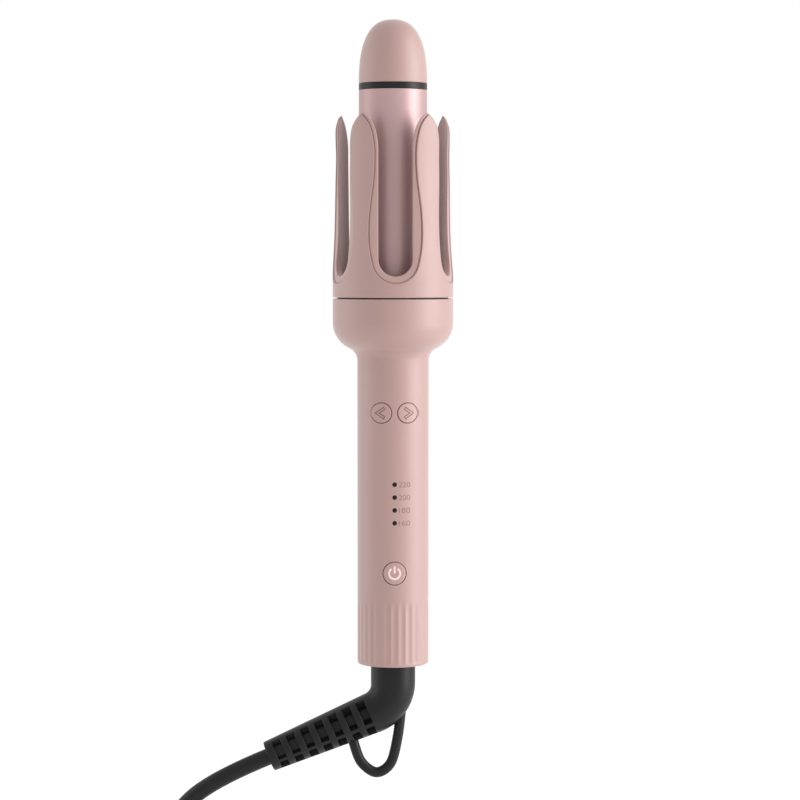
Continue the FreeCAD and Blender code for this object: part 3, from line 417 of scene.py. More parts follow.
CORD_R = 4.0
LEAD = [(-58.716, 0, -43.94), (-86.41, 1.64, -55.47), (-104.77, 7.38, -73.88),
        (-114.71, 15.58, -97.90), (-114.71, 16.4, -123.90)]
HANK_LOW, HANK_HIGH = box("cord_hank")
HANK_X = (HANK_LOW.x + HANK_HIGH.x) / 2
HANK_MIDDLE = (HANK_LOW.z + HANK_HIGH.z) / 2
FOLD_R = (HANK_HIGH.x - HANK_LOW.x) / 2 - CORD_R
FOLD_REACH = (HANK_HIGH.z - HANK_LOW.z) / 2 - CORD_R - FOLD_R
STRAND_PITCH = 8.2
STRANDS = 5
WAIST_X = 3.6


def strand_x(up):
    """How far a strand stands from the hank's middle line, at a height over its waist."""
    return WAIST_X + (FOLD_R - WAIST_X) * (1 - math.cos(math.pi * min(abs(up) / FOLD_REACH, 1))) / 2


def hank_points():
    """The hank's turns: down the left, round the bottom fold, up the right and over the top."""
    loose = random.Random(7)
    reach = FOLD_REACH
    down = [reach * share for share in (0.82, 0.55, 0.28, 0, -0.28, -0.55, -0.82)]
    folds = [-20, -55, -90, -125, -160]
    points = []
    for strand in range(STRANDS):
        back = STRAND_PITCH * ((STRANDS - 1) / 2 - strand)
        size = FOLD_R - loose.uniform(0, 0.5)
        last = strand == STRANDS - 1
        for up in down[:4] if last else down:
            points.append((HANK_X - strand_x(up), back, HANK_MIDDLE + up))
        if last:
            break
        for turn, angle in enumerate(folds, start=1):
            across = math.radians(180 - angle)
            y = back - STRAND_PITCH / 2 * turn / (len(folds) + 1)
            points.append((HANK_X + size * math.cos(across), y,
                           HANK_MIDDLE - reach - size * abs(math.sin(across))))
        forward = back - STRAND_PITCH / 2
        for up in reversed(down):
            points.append((HANK_X + strand_x(up), forward, HANK_MIDDLE + up))
        for turn, angle in enumerate(folds, start=1):
            across = math.radians(-angle)
            y = forward - STRAND_PITCH / 2 * turn / (len(folds) + 1)
            points.append((HANK_X + size * math.cos(across), y,
                           HANK_MIDDLE + reach + size * math.sin(across)))
    return points


PLUG_LOW, PLUG_HIGH = box("plug_body")
PLUG = (PLUG_LOW + PLUG_HIGH) / 2
TAIL = [(-94.5, -16.6, -206), (-95.2, -24, -219), (-95.2, -32.5, -232), (-95.2, -33.5, -243),
        (-95.2, -33.5, -252.5)]


def add_cord():
    """The free cord, from the guard's tip through its hank to the plug."""
    route = LEAD + hank_points() + TAIL
    data = bpy.data.curves.new("cord", "CURVE")
    data.dimensions = "3D"
    data.bevel_depth = CORD_R * MM
    data.bevel_resolution = 8
    data.resolution_u = 10
    data.use_fill_caps = True
    spline = data.splines.new("NURBS")
    spline.points.add(len(route) - 1)
    for spot, where in zip(spline.points, route):
        spot.co = (*(Vector(where) * MM), 1)
    spline.order_u = 3
    spline.use_endpoint_u = True
    spline.use_smooth = True
    obj = bpy.data.objects.new("cord", data)
    bpy.context.scene.collection.objects.link(obj)
    return place(obj, "cord", "cord_black", "cord_lead", "cord_hank", "cord_tail")


def plug_row(z, half_wide, half_thick, power, count=48):
    """One level of the plug: an outline between an ellipse and a rectangle."""
    row = []
    for step in range(count):
        angle = 2 * math.pi * step / count
        across = math.copysign(abs(math.cos(angle)) ** (2 / power), math.cos(angle))
        deep = math.copysign(abs(math.sin(angle)) ** (2 / power), math.sin(angle))
        row.append((PLUG.x + half_wide * across, PLUG.y + half_thick * deep, z))
    return row


def add_plug():
    """A flat moulded plug with a ribbed cord entry, and its two sleeved round pins."""
    half_wide = (PLUG_HIGH.x - PLUG_LOW.x) / 2
    half_thick = (PLUG_HIGH.y - PLUG_LOW.y) / 2
    neck = 5.0
    groove = neck - 0.7
    groove_start, groove_pitch = 1.2, 2.4
    levels = [(0, CORD_R, CORD_R, 2), (0, neck - 0.3, neck - 0.3, 2), (0.4, neck, neck, 2)]
    for step in range(4):
        down = groove_start + step * groove_pitch
        levels += [(down, neck, neck, 2), (down + 0.3, groove, groove, 2),
                   (down + 0.9, groove, groove, 2), (down + 1.2, neck, neck, 2)]
    body = [(11, 5.4, 5.3, 2), (13, 7.2, 5.8, 2.2), (16, 11.2, 6.3, 2.6), (19, 14.6, 6.6, 3),
            (22, 16.6, 6.8, 3.6), (25, 17.4, 6.85, 4.2), (27, 17.5, 6.85, 4.6)]
    ends = [(34.6, 1, 4.8), (35.5, 0.985, 4.8), (35.9, 0.96, 4.8), (36, 0.93, 4.6)]
    levels += body
    levels += [(down, half_wide * share, half_thick * share, power) for down, share, power in ends]
    points = []
    for down, wide, thick, power in levels:
        points += plug_row(PLUG_HIGH.z - down, wide, thick, power)
    count = len(plug_row(0, 1, 1, 2))
    faces = grid_faces(len(levels), count, wrap_columns=True)
    faces.append(tuple(range(count)))
    faces.append(tuple(len(points) - count + step for step in range(count)))
    plug = place(mesh_object("plug", points, faces), "cord", "plug_black", "plug_body")

    low, high = box("plug_pins")
    radius = (high.y - low.y) / 2
    places = [(low.x + radius, PLUG.y), (high.x - radius, PLUG.y)]
    tip = arc((0, low.z + radius), radius, -90, 0, 8)
    sleeve_r, sleeve_long = radius + 0.02, 10
    sleeve = [(sleeve_r, high.z), (sleeve_r, high.z - sleeve_long + 0.4),
              (radius - 0.1, high.z - sleeve_long)]
    pins = [lathe("pin", tip + [(radius, high.z)], 40, spot) for spot in places]
    sleeves = [lathe("sleeve", sleeve, 40, spot) for spot in places]
    pin_pair = place(joined("pins", *pins), "cord", "pin_nickel", "plug_pins")
    sleeve_pair = place(joined("pin_sleeves", *sleeves), "cord", "plug_black")
    return [plug, pin_pair, sleeve_pair]


def add_tie():
    """The tape round the hank's waist: a closed band with softened edges."""
    low, high = box("cord_tie")
    centre = (low + high) / 2
    half_wide = (high.x - low.x) / 2
    half_deep = (high.y - low.y) / 2
    thick = 1.5
    squareness = 0.36
    count = 72
    section = [(0, -0.5), (0.35, -0.46), (1, -0.4), (1, 0.4), (0.35, 0.46), (0, 0.5)]
    points = []
    for step in range(count):
        angle = 2 * math.pi * step / count
        across = math.copysign(abs(math.cos(angle)) ** squareness, math.cos(angle))
        deep = math.copysign(abs(math.sin(angle)) ** squareness, math.sin(angle))
        for out, up in section:
            inset = thick * (1 - out)
            points.append((centre.x + (half_wide - inset) * across,
                           centre.y + (half_deep - inset) * deep,
                           centre.z + (high.z - low.z) * up))
    faces = grid_faces(count, len(section), wrap_rows=True, wrap_columns=True)
    return place(mesh_object("tie", points, faces, 50), "cord", "tie_black", "cord_tie")


# ---------------------------------------------------------------- cord guard

GUARD_DIP = math.radians(22.6)
ALONG = Vector((-math.cos(GUARD_DIP), 0, -math.sin(GUARD_DIP)))
ACROSS = Vector((-math.sin(GUARD_DIP), 0, math.cos(GUARD_DIP)))
CORNER = Vector((0, 0, -19.5))
BEND_R = 15.0
GUARD_R, GUARD_MID_R, GUARD_TIP_R = 10.5, 9.75, 7.2
GUARD_LONG = 63.6
WINDOW_ROWS = 7
WINDOW_START, WINDOW_PITCH, WINDOW_WIDE = 14.0, 7.25, 4.0
WINDOWS = [(-0.93, -0.5), (-0.3, 0.85)]
GUARD_CORE_R = 5.0


def guard_stations():
    """The guard's rows: (centre, upper side, radius, the sink of its columns at the windows)."""
    turn = math.pi / 2 - GUARD_DIP
    reach = BEND_R * math.tan(turn / 2)
    rows = []
    start = CORNER + Vector((0, 0, reach))
    for z in (3, 1.5, 0.2, -1, -3, -6, start.z):
        rows.append((Vector((0, 0, z)), Vector((-1, 0, 0)), GUARD_R, 0))
    hub = start + Vector((-BEND_R, 0, 0))
    for step in range(1, 17):
        angle = turn * step / 16
        out = Vector((math.cos(angle), 0, -math.sin(angle)))
        radius = GUARD_R + (GUARD_MID_R - GUARD_R) * step / 16
        rows.append((hub + out * BEND_R, -out, radius, 0))

    def straight(at, sink=0.0, window=0.0):
        share = (at - reach) / (GUARD_LONG - reach)
        radius = GUARD_MID_R + (GUARD_TIP_R - GUARD_MID_R) * share - sink
        rows.append((CORNER + ALONG * at, ACROSS, radius, window))

    for row in range(WINDOW_ROWS):
        low = WINDOW_START + row * WINDOW_PITCH - WINDOW_WIDE / 2
        high = low + WINDOW_WIDE
        edge = ((0.5, 0), (0.3, 0.04), (0.08, 0.14), (0, 0.3))
        for out, window in edge:
            straight(low - out, 0, window)
        for at in (low + 0.04, (low + high) / 2, high - 0.04):
            straight(at, 0, None)
        for out, window in reversed(edge):
            straight(high + out, 0, window)
    for at, sink in ((62.6, 0), (63.1, 0.06), (63.4, 0.2), (GUARD_LONG, 0.5)):
        straight(at, sink)
    bore = GUARD_TIP_R - CORD_R - 0.15
    straight(GUARD_LONG, bore)
    straight(GUARD_LONG - 4, bore)
    return rows


def window_columns():
    """Angles round the guard, from its front towards its upper side, with edges at the windows."""
    narrow = 0.012
    edges = [math.asin(edge) for window in WINDOWS for edge in window]
    edges += [math.pi - edge for edge in edges]
    spread = [2 * math.pi * step / 72 - math.pi / 2 for step in range(72)]
    kept = [angle for angle in spread if all(abs(angle - edge) > 0.03 for edge in edges)]
    return sorted(kept + [edge + side for edge in edges for side in (-narrow, narrow)])


def add_guard():
    """The rubber guard: an elbow, then a taper with two rows of windows down to its core."""
    rows = guard_stations()
    columns = window_columns()
    front = Vector((0, -1, 0))
    points = []
    for centre, upper, radius, window in rows:
        for angle in columns:
            here = radius
            if any(low < math.sin(angle) < high for low, high in WINDOWS):
                here = GUARD_CORE_R if window is None else radius - window
            points.append(centre + (front * math.cos(angle) + upper * math.sin(angle)) * here)
    faces = grid_faces(len(rows), len(columns), wrap_columns=True)
    guard = mesh_object("guard", points, faces, 45)
    loop = tube("loop", through([(-19.8, 0, -31.5), (-18.2, 0, -39.0), (-14.8, 0, -47.2),
                                 (-7.9, 0, -51.9), (-1.2, 0, -47.6), (2.1, 0, -35.5),
                                 (4.0, 0, -20.5)], 10), 2.45)
    place(guard, "cord", "rubber_black", "cord_guard")
    return guard, place(loop, "cord", "rubber_black")


# ---------------------------------------------------------------- handle and head

HANDLE_R = -box("power_button")[0].y
SHELL_HIGH = box("front_shell")[1]
HEAD_R, SEAM_Z = SHELL_HIGH.x, SHELL_HIGH.z
WALL = 1.8
RIM_ROUND = 1.2
LIP = 0.5
HEAD_CURVE_R, HEAD_CURVE_Z = 13.2, 161.0
NECK_CURVE_R = 6.5
FLUTES = 30
FLUTE_DEEP = 0.3
FLUTE_TOP = 32.0
PARTING = 0.06
GROOVE = 0.3


def shell_profile(inset=0.0):
    """The outside of the handle and head from the flutes' top to the seam, set in by inset."""
    head = (HEAD_R - HEAD_CURVE_R, HEAD_CURVE_Z)
    across = HANDLE_R + NECK_CURVE_R - head[0]
    apart = HEAD_CURVE_R + NECK_CURVE_R
    drop = math.sqrt(apart ** 2 - across ** 2)
    turn = math.degrees(math.atan2(drop, across))
    neck = (HANDLE_R + NECK_CURVE_R, HEAD_CURVE_Z - drop)
    return (arc(neck, NECK_CURVE_R + inset, 180, 180 - turn, 14)
            + arc(head, HEAD_CURVE_R - inset, -turn, 0, 22)[1:])


PROFILE = shell_profile()


def shell_radius(z):
    """The shell's outer radius at a height."""
    if z <= PROFILE[0][1]:
        return HANDLE_R
    for (first, low), (second, high) in zip(PROFILE, PROFILE[1:]):
        if z <= high:
            return first + (second - first) * (z - low) / (high - low)
    return HEAD_R


def flute(angle, z):
    """How deep the grip's flutes are at a place."""
    fade = ease((z - 0.9) / 1.6) * ease((FLUTE_TOP - z) / 5)
    return FLUTE_DEEP * fade * (0.5 - 0.5 * math.cos(FLUTES * angle)) ** 0.7


def half_shell(name, front):
    """One closed half of the handle and head, with a hair's gap at its sides."""
    outer = arc((HANDLE_R - RIM_ROUND, RIM_ROUND), RIM_ROUND, -90, 0, 6)
    outer += [(HANDLE_R, z) for z in [1.6, 2.0, 2.5] + [3.5 + 2 * step for step in range(11)]]
    outer += [(HANDLE_R, 26 + 1.0 * step) for step in range(7)]
    outer += [(HANDLE_R, z) for z in (36, 60, 90, 120, 138)]
    outer += PROFILE
    outer += arc((HEAD_R - LIP, SEAM_Z - LIP), LIP, 0, 90, 4)
    inner = [(HEAD_R - WALL, SEAM_Z)] + list(reversed(shell_profile(WALL)))
    inner += [(HANDLE_R - WALL, 0)]
    section = outer + inner
    steps = 16 * FLUTES // 2
    start = math.pi if front else 0
    points = []
    for step in range(steps + 1):
        angle = start + math.pi * step / steps
        for index, (radius, z) in enumerate(section):
            if index < len(outer):
                radius -= flute(angle, z)
            y = radius * math.sin(angle)
            if abs(y) < PARTING:
                y = -PARTING if front else PARTING
            points.append((radius * math.cos(angle), y, z))
    faces = grid_faces(steps + 1, len(section), wrap_columns=True)
    faces.append(tuple(range(len(section))))
    faces.append(tuple(len(points) - len(section) + step for step in range(len(section))))
    return mesh_object(name, points, faces)


def drill(radius, x, z, low_y, high_y):
    """A round cutter that lies along Y."""
    count = 72
    points = []
    for y in (low_y, high_y):
        points += [(x + radius * math.cos(2 * math.pi * step / count), y,
                    z + radius * math.sin(2 * math.pi * step / count)) for step in range(count)]
    faces = grid_faces(2, count, wrap_columns=True)
    faces += [tuple(range(count)), tuple(range(count, 2 * count))]
    return mesh_object("drill", points, faces)


BUTTONS = {"left_button": -6.1, "right_button": 6.1, "power_button": 0.0}
LAMP_LOW, LAMP_HIGH = box("lamp_pipes")
LAMP_R = (LAMP_HIGH.x - LAMP_LOW.x) / 2
LAMPS = 4
LAMP_PITCH = (LAMP_HIGH.z - LAMP_LOW.z - 2 * LAMP_R) / (LAMPS - 1)
SCREW_HEAD_R = 2.4
SCREW_SEATS = {27.6: (8.0, 12.0), 152.5: (17.0, 15.5)}


def lamp_z(step):
    """The height of a lamp's middle, counted from the lowest."""
    return LAMP_LOW.z + LAMP_R + step * LAMP_PITCH


def cap_size(node):
    """A button's centre and the radius of its cap. Its flange is trimmed at the handle's middle."""
    flange_wide = 0.85
    low, high = box(node)
    centre = (low + high) / 2
    centre.x = BUTTONS[node]
    return centre, (high.z - low.z) / 2 - flange_wide


def add_shells():
    """Both halves, with wells for the buttons, lamps and screws."""
    front = half_shell("front_half", True)
    wells = []
    for node in BUTTONS:
        centre, radius = cap_size(node)
        wells.append(drill(radius + GROOVE, centre.x, centre.z, -HANDLE_R - 4, -HANDLE_R / 2))
    wells += [drill(LAMP_R + 0.05, 0, lamp_z(step), -HANDLE_R - 4, -HANDLE_R / 2)
              for step in range(LAMPS)]
    cut_out(front, joined("wells", *wells))
    place(front, "handle", "shell_pink", "front_shell")
    rear = half_shell("rear_half", False)
    wells = [drill(SCREW_HEAD_R, side * x, z, seat - 4, HEAD_R + 4)
             for z, (x, seat) in SCREW_SEATS.items() for side in (-1, 1)]
    cut_out(rear, joined("wells", *wells))
    place(rear, "handle", "shell_pink", "rear_shell")
    tubes = [screw_well(side * x, z, seat) for z, (x, seat) in SCREW_SEATS.items() for side in (-1, 1)]
    place(joined("screw_wells", *tubes), "handle", "shell_pink")


def screw_well(x, z, seat):
    """The wall and seat of a sunk screw, which ends inside the shell's wall."""
    count = 48
    rings = [(1.25, 0), (SCREW_HEAD_R, 0), (SCREW_HEAD_R, None), (SCREW_HEAD_R + 0.6, None),
             (SCREW_HEAD_R + 0.6, -1.2), (1.25, -1.2)]
    points = []
    for radius, level in rings:
        for step in range(count):
            angle = 2 * math.pi * step / count
            here = (x + radius * math.cos(angle), z + radius * math.sin(angle))
            skin = math.sqrt((shell_radius(here[1]) - WALL / 2) ** 2 - here[0] ** 2)
            points.append((here[0], skin if level is None else seat + level, here[1]))
    return mesh_object("well", points, grid_faces(len(rings), count, wrap_rows=True, wrap_columns=True))


# ---------------------------------------------------------------- controls

RIM_FILLET = 0.45


def cap_face(node, across, up):
    """The y of a button's face at a place measured from its centre."""
    centre, radius = cap_size(node)
    out = math.hypot(across, up)
    fall = max(out - (radius - RIM_FILLET), 0)
    drop = RIM_FILLET - math.sqrt(max(RIM_FILLET ** 2 - fall ** 2, 0))
    dish = 0.3 * ease(1 - out / (radius - 0.8)) if node == "power_button" else 0
    return -math.sqrt(HANDLE_R ** 2 - (centre.x + across) ** 2) + drop + dish


def add_button(node, name):
    """A press cap on the handle's round, with its soft rim, flange and stem."""
    centre, radius = cap_size(node)
    stem_end = box(node)[1].y
    back, flange_thick = -12.6, 0.9
    flange_r, stem_r = radius + 0.8, 1.6
    count = 96
    outs = [radius * share for share in (0.15, 0.35, 0.55, 0.7, 0.82)]
    outs += [radius - RIM_FILLET * (1 - math.sin(math.radians(step * 15))) for step in range(7)]
    points = []
    for out in outs:
        for step in range(count):
            angle = 2 * math.pi * step / count
            across, up = out * math.cos(angle), out * math.sin(angle)
            points.append((centre.x + across, cap_face(node, across, up), centre.z + up))
    rings = [(radius, back), (flange_r, back), (flange_r, back + flange_thick),
             (stem_r, back + flange_thick), (stem_r, stem_end), (0.01, stem_end)]
    for out, y in rings:
        points += [(centre.x + out * math.cos(2 * math.pi * step / count), y,
                    centre.z + out * math.sin(2 * math.pi * step / count)) for step in range(count)]
    faces = grid_faces(len(outs) + len(rings), count, wrap_columns=True)
    faces.append(tuple(range(count)))
    return place(mesh_object(name, points, faces, 50), name, "button_pink", node)


def ribbon(name, lines, wide, surface):
    """Flat printed strips along 2-D lines, laid on a surface. A line that meets itself is closed."""
    points, faces = [], []
    for line in lines:
        closed = line[0] == line[-1]
        spots = [Vector(spot) for spot in (line[:-1] if closed else line)]
        count = len(spots)
        first = len(points)
        for index, spot in enumerate(spots):
            before = spots[index - 1] if closed or index else spot * 2 - spots[1]
            after = spots[(index + 1) % count] if closed or index < count - 1 else spot * 2 - spots[-2]
            into, out = (spot - before).normalized(), (after - spot).normalized()
            left = Vector((-into.y, into.x)) + Vector((-out.y, out.x))
            left = left / max(1 + into.dot(out), 0.3)
            for side in (-0.5, 0.5):
                points.append(surface(*(spot + left * side * wide)))
        faces += grid_faces(count, 2, first, wrap_rows=closed)
    return mesh_object(name, points, faces)


def finely(corners, step=0.35):
    """A line through corners, in short steps."""
    line = []
    for start, end in zip(corners, corners[1:]):
        pieces = max(int(math.dist(start, end) / step), 1)
        line += [tuple(Vector(start).lerp(Vector(end), part / pieces)) for part in range(pieces)]
    return line + [tuple(corners[-1])]


def on_button(node, lift=0.035):
    """The surface that a button's sign is laid on, just over its face."""
    centre, _ = cap_size(node)
    return lambda across, up: (centre.x + across, cap_face(node, across, up) - lift, centre.z + up)


def add_icons():
    """The outlined arrows and the power sign."""
    chevron = [(-2.9, 0), (1.0, 2.75), (1.45, 1.65), (-1.15, 0), (1.45, -1.65), (1.0, -2.75),
               (-2.9, 0)]
    for node, side in (("left_button", 1), ("right_button", -1)):
        outline = finely([(side * across, up) for across, up in chevron])
        outline[-1] = outline[0]
        icon = ribbon(f"{node[:-7]}_arrow", [outline], 0.36, on_button(node))
        place(icon, node, "button_pink", look="icon_brown")
    ring_r = 2.6
    ring = [(ring_r * math.sin(math.radians(angle)), ring_r * math.cos(math.radians(angle)))
            for angle in range(32, 329, 6)]
    bar = finely([(0, 0.1), (0, 3.4)])
    sign = ribbon("power_sign", [ring, bar], 0.85, on_button("power_button"))
    place(sign, "power_button", "button_pink", look="icon_pale")


def add_digits():
    """The temperatures beside the lamps, printed on the handle."""
    texts = []
    size, text_left, text_wide = 3.45, 1.9, 5.4
    half_high = 1.25
    print_r = HANDLE_R + 0.03
    for step, number in enumerate(("160", "180", "200", "220")):
        data = bpy.data.curves.new("digits", "FONT")
        data.body = number
        data.size = size
        letters = bpy.data.objects.new("digits", data)
        bpy.context.scene.collection.objects.link(letters)
        bpy.context.view_layer.update()
        flat = bpy.data.meshes.new_from_object(
            letters.evaluated_get(bpy.context.evaluated_depsgraph_get()))
        bpy.data.objects.remove(letters)
        left = min(vertex.co.x for vertex in flat.vertices)
        wide = max(vertex.co.x for vertex in flat.vertices) - left
        for vertex in flat.vertices:
            across = text_left + (vertex.co.x - left) * text_wide / wide
            up = lamp_z(step) - half_high + vertex.co.y
            vertex.co = Vector((across, -math.sqrt(print_r ** 2 - across ** 2), up)) * MM
        texts.append(bpy.data.objects.new("digits", flat))
    place(joined("digits", *texts), "handle", "shell_pink", look="digit_rose")


def add_lamps():
    """Four small dark lenses, flush with the handle."""
    count = 32
    lenses = []
    back = box("lamp_pipes")[1].y
    for step in range(LAMPS):
        z = lamp_z(step)
        points = []
        for out in [LAMP_R * share for share in (0.1, 0.5, 0.8, 0.93, 1)]:
            dome = 0.18 * (1 - (out / LAMP_R) ** 2)
            points += [(out * math.cos(2 * math.pi * turn / count), -HANDLE_R - dome + 0.08,
                        z + out * math.sin(2 * math.pi * turn / count)) for turn in range(count)]
        points += [(LAMP_R * math.cos(2 * math.pi * turn / count), back,
                    z + LAMP_R * math.sin(2 * math.pi * turn / count)) for turn in range(count)]
        faces = grid_faces(6, count, wrap_columns=True)
        faces += [tuple(range(count)), tuple(range(5 * count, 6 * count))]
        lenses.append(mesh_object("lens", points, faces))
    place(joined("lamps", *lenses), "handle", "lamp_black", "lamp_pipes")


# ---------------------------------------------------------------- barrel and tip

BARREL_LOW, BARREL_HIGH = box("barrel_tube")
BARREL_R = BARREL_HIGH.x
TIP_LOW, TIP_HIGH = box("tip_cap")
TIP_POWER = 2.5


def add_barrel():
    """The heated barrel, the insulating ring on it and the domed tip."""
    edge = 0.25
    bore_r = BARREL_R - 1.4
    ring_bore_r = 12
    section = [(bore_r, BARREL_LOW.z), (BARREL_R, BARREL_LOW.z)]
    section += [(BARREL_R, BARREL_LOW.z + step * (BARREL_HIGH.z - BARREL_LOW.z - 1) / 12)
                for step in range(1, 13)]
    section += arc((BARREL_R - edge, BARREL_HIGH.z - edge), edge, 0, 90, 5)
    section += [(bore_r, BARREL_HIGH.z)]
    place(lathe("barrel", section, 192, closed=True), "handle", "barrel_pearl", "barrel_tube")

    top = TIP_LOW.z
    low = BARREL_HIGH.z
    ring = [(ring_bore_r, low)] + arc((BARREL_R - edge, low + edge), edge, -90, 0, 5)
    ring += arc((BARREL_R - edge, top - edge), edge, 0, 90, 5)
    ring += [(ring_bore_r, top), (ring_bore_r, top + 3)]
    place(lathe("insulator", ring, 192), "handle", "ring_black", "tip_ring")

    high = TIP_HIGH.z
    dome = [(BARREL_R - 1.9, top)] + arc((BARREL_R - edge, top + edge), edge, -90, 0, 5)
    count = 40
    for step in range(1, count + 1):
        turn = math.pi / 2 * step / count
        dome.append((BARREL_R * max(math.cos(turn), 0) ** (2 / TIP_POWER),
                     top + (high - top) * math.sin(turn) ** (2 / TIP_POWER)))
    dome = [spot for index, spot in enumerate(dome) if index < 7 or spot[1] > top + edge]
    place(lathe("tip", dome, 192), "handle", "tip_pink", "tip_cap")


# ---------------------------------------------------------------- petal cage

PETALS = 5
HALF_PETAL = math.pi / PETALS
CAGE_LOW, CAGE_HIGH = box("petal_cage")
CAGE_R, CAGE_Z, TIP_Z = 28.35, CAGE_LOW.z, CAGE_HIGH.z
TIP_TURN_IN = 1.2
OUTSIDE = [(184.0, 28.35), (237.0, 26.7), (250.8, 27.1), (257.0, 26.6)]
INSIDE = [(179.0, 24.2), (237.0, 25.2), (257.7, 25.2), (258.2, 25.4)]
SLOT = [(0, 182.7, 7.9), (7.9, 190.6, 0), (7.9, 241.0, -33.0), (9.45, 251.0, -13.7),
        (14.0, 257.65, -2.44), (15.5, 258.2, 0)]
FACE = [(0, 179.2, 11.0), (10.6, 187.3, 58.0), (12.6, 202.3, 115.7), (11.175, 220.4, -115.7),
        (9.75, 238.5, -45.0), (11.25, 250.0, -15.0), (15.6, 257.2, 0)]
CREASE_DEEP, CREASE_WIDE = 0.5, 0.14
BAND_SLOPE = 0.32
VALLEY_DEEP, VALLEY_OFF, VALLEY_WIDE = 0.45, 0.3, 0.25
FACE_ROUND = 0.45
EDGE_ROUND = 0.3


def outline(corners, steps=14):
    """Points along corners. A radius makes the edge after its corner an arc, bent to the left."""
    points = []
    for (x, z, radius), (next_x, next_z, _) in zip(corners, corners[1:]):
        start, end = Vector((x, z)), Vector((next_x, next_z))
        count = steps if radius else 1
        chord = end - start
        if radius:
            left = Vector((-chord.y, chord.x)).normalized()
            offset = math.sqrt(max(radius ** 2 - (chord.length / 2) ** 2, 0))
            hub = (start + end) / 2 + left * math.copysign(offset, radius)
            first = math.atan2(start.y - hub.y, start.x - hub.x)
            sweep = math.atan2(end.y - hub.y, end.x - hub.x) - first
            sweep = (sweep + math.pi) % (2 * math.pi) - math.pi
        for step in range(count):
            if radius:
                angle = first + sweep * step / count
                points.append(hub + Vector((math.cos(angle), math.sin(angle))) * abs(radius))
            else:
                points.append(start + chord * step / count)
    points.append(Vector(corners[-1][:2]))
    return points


SLOT_LINE = outline(SLOT)
FACE_LINE = outline(FACE)


def half_width(line, z):
    """How wide an opening is, from its middle, at a height."""
    if z <= line[0].y:
        return 0.0
    for low, high in zip(line, line[1:]):
        if z <= high.y:
            return low.x + (high.x - low.x) * (z - low.y) / (high.y - low.y)
    return line[-1].x + (z - line[-1].y)


def distance(line, x, z):
    """How far a place is from an opening's edge. It is above 0 inside the opening."""
    spot = Vector((x, z))
    nearest = 1e9
    for start, end in zip(line, line[1:]):
        chord = end - start
        share = min(max((spot - start).dot(chord) / chord.length_squared, 0), 1)
        nearest = min(nearest, (spot - start - chord * share).length)
    inside = z > line[0].y and x < half_width(line, z)
    return nearest if inside else -nearest


def outer_radius(z):
    """The cage's outer radius at a height, over the petals' raised faces."""
    if z < CAGE_Z + LIP:
        return CAGE_R - LIP + math.sqrt(max(LIP ** 2 - (CAGE_Z + LIP - z) ** 2, 0))
    if z <= OUTSIDE[0][0]:
        return CAGE_R
    tip = OUTSIDE[-1][0]
    if z > tip:
        drop = (z - tip) / (TIP_Z - tip)
        return OUTSIDE[-1][1] - TIP_TURN_IN * (1 - math.sqrt(max(1 - drop ** 2, 0)))
    for (low, first), (high, second) in zip(OUTSIDE, OUTSIDE[1:]):
        if z <= high:
            share = (z - low) / (high - low)
            return first + (second - first) * (share if low < 200 else ease(share))
    return OUTSIDE[-1][1]


def inner_radius(z):
    """The cage's inner radius at a height."""
    for (low, first), (high, second) in zip(INSIDE, INSIDE[1:]):
        if z <= high:
            return first + (second - first) * (z - low) / (high - low)
    return INSIDE[-1][1]


def sunk(x, z):
    """How far the surface lies under the raised face: its rounded edge, the crease, the band."""
    gap = distance(FACE_LINE, x, z)
    if gap > 0:
        valley = math.exp(-((gap - VALLEY_OFF) / VALLEY_WIDE) ** 2)
        deep = CREASE_DEEP * ease(gap / CREASE_WIDE * 0.5 + 0.5) + BAND_SLOPE * gap
        deep += VALLEY_DEEP * valley
    else:
        fall = max(gap + FACE_ROUND, 0)
        deep = CREASE_DEEP / 2 * (1 - math.sqrt(max(1 - (fall / FACE_ROUND) ** 2, 0)))
    rim = distance(SLOT_LINE, x, z)
    near = max(EDGE_ROUND + rim, 0)
    if near > 0:
        deep += EDGE_ROUND - math.sqrt(max(EDGE_ROUND ** 2 - min(near, EDGE_ROUND) ** 2, 0))
    return deep


def cage_heights():
    """Row heights: close together where the openings' edges run level."""
    heights = [CAGE_Z + LIP * (1 - math.cos(math.radians(step * 18))) for step in range(6)]
    heights += [175, 177, 178.4]
    heights += [178.7 + 0.18 * step for step in range(42)]
    heights += [186.5 + 0.6 * step for step in range(10)]
    heights += [193 + 2.4 * step for step in range(24)]
    heights += [250.6 + 0.3 * step for step in range(10)]
    heights += [253.8 + 0.14 * step for step in range(32)]
    heights += [spot.y for spot in SLOT_LINE]
    kept = []
    for z in sorted(heights):
        if z <= TIP_Z and (not kept or z - kept[-1] > 0.03):
            kept.append(z)
    return kept


BAND_SHARES = [0, 0.02, 0.06, 0.13, 0.25, 0.45, 0.62, 0.72, 0.79, 0.85, 0.9, 0.945, 0.98, 1]
FACE_SHARES = [0.012, 0.03, 0.06, 0.1, 0.17, 0.3, 0.5, 0.75, 1]


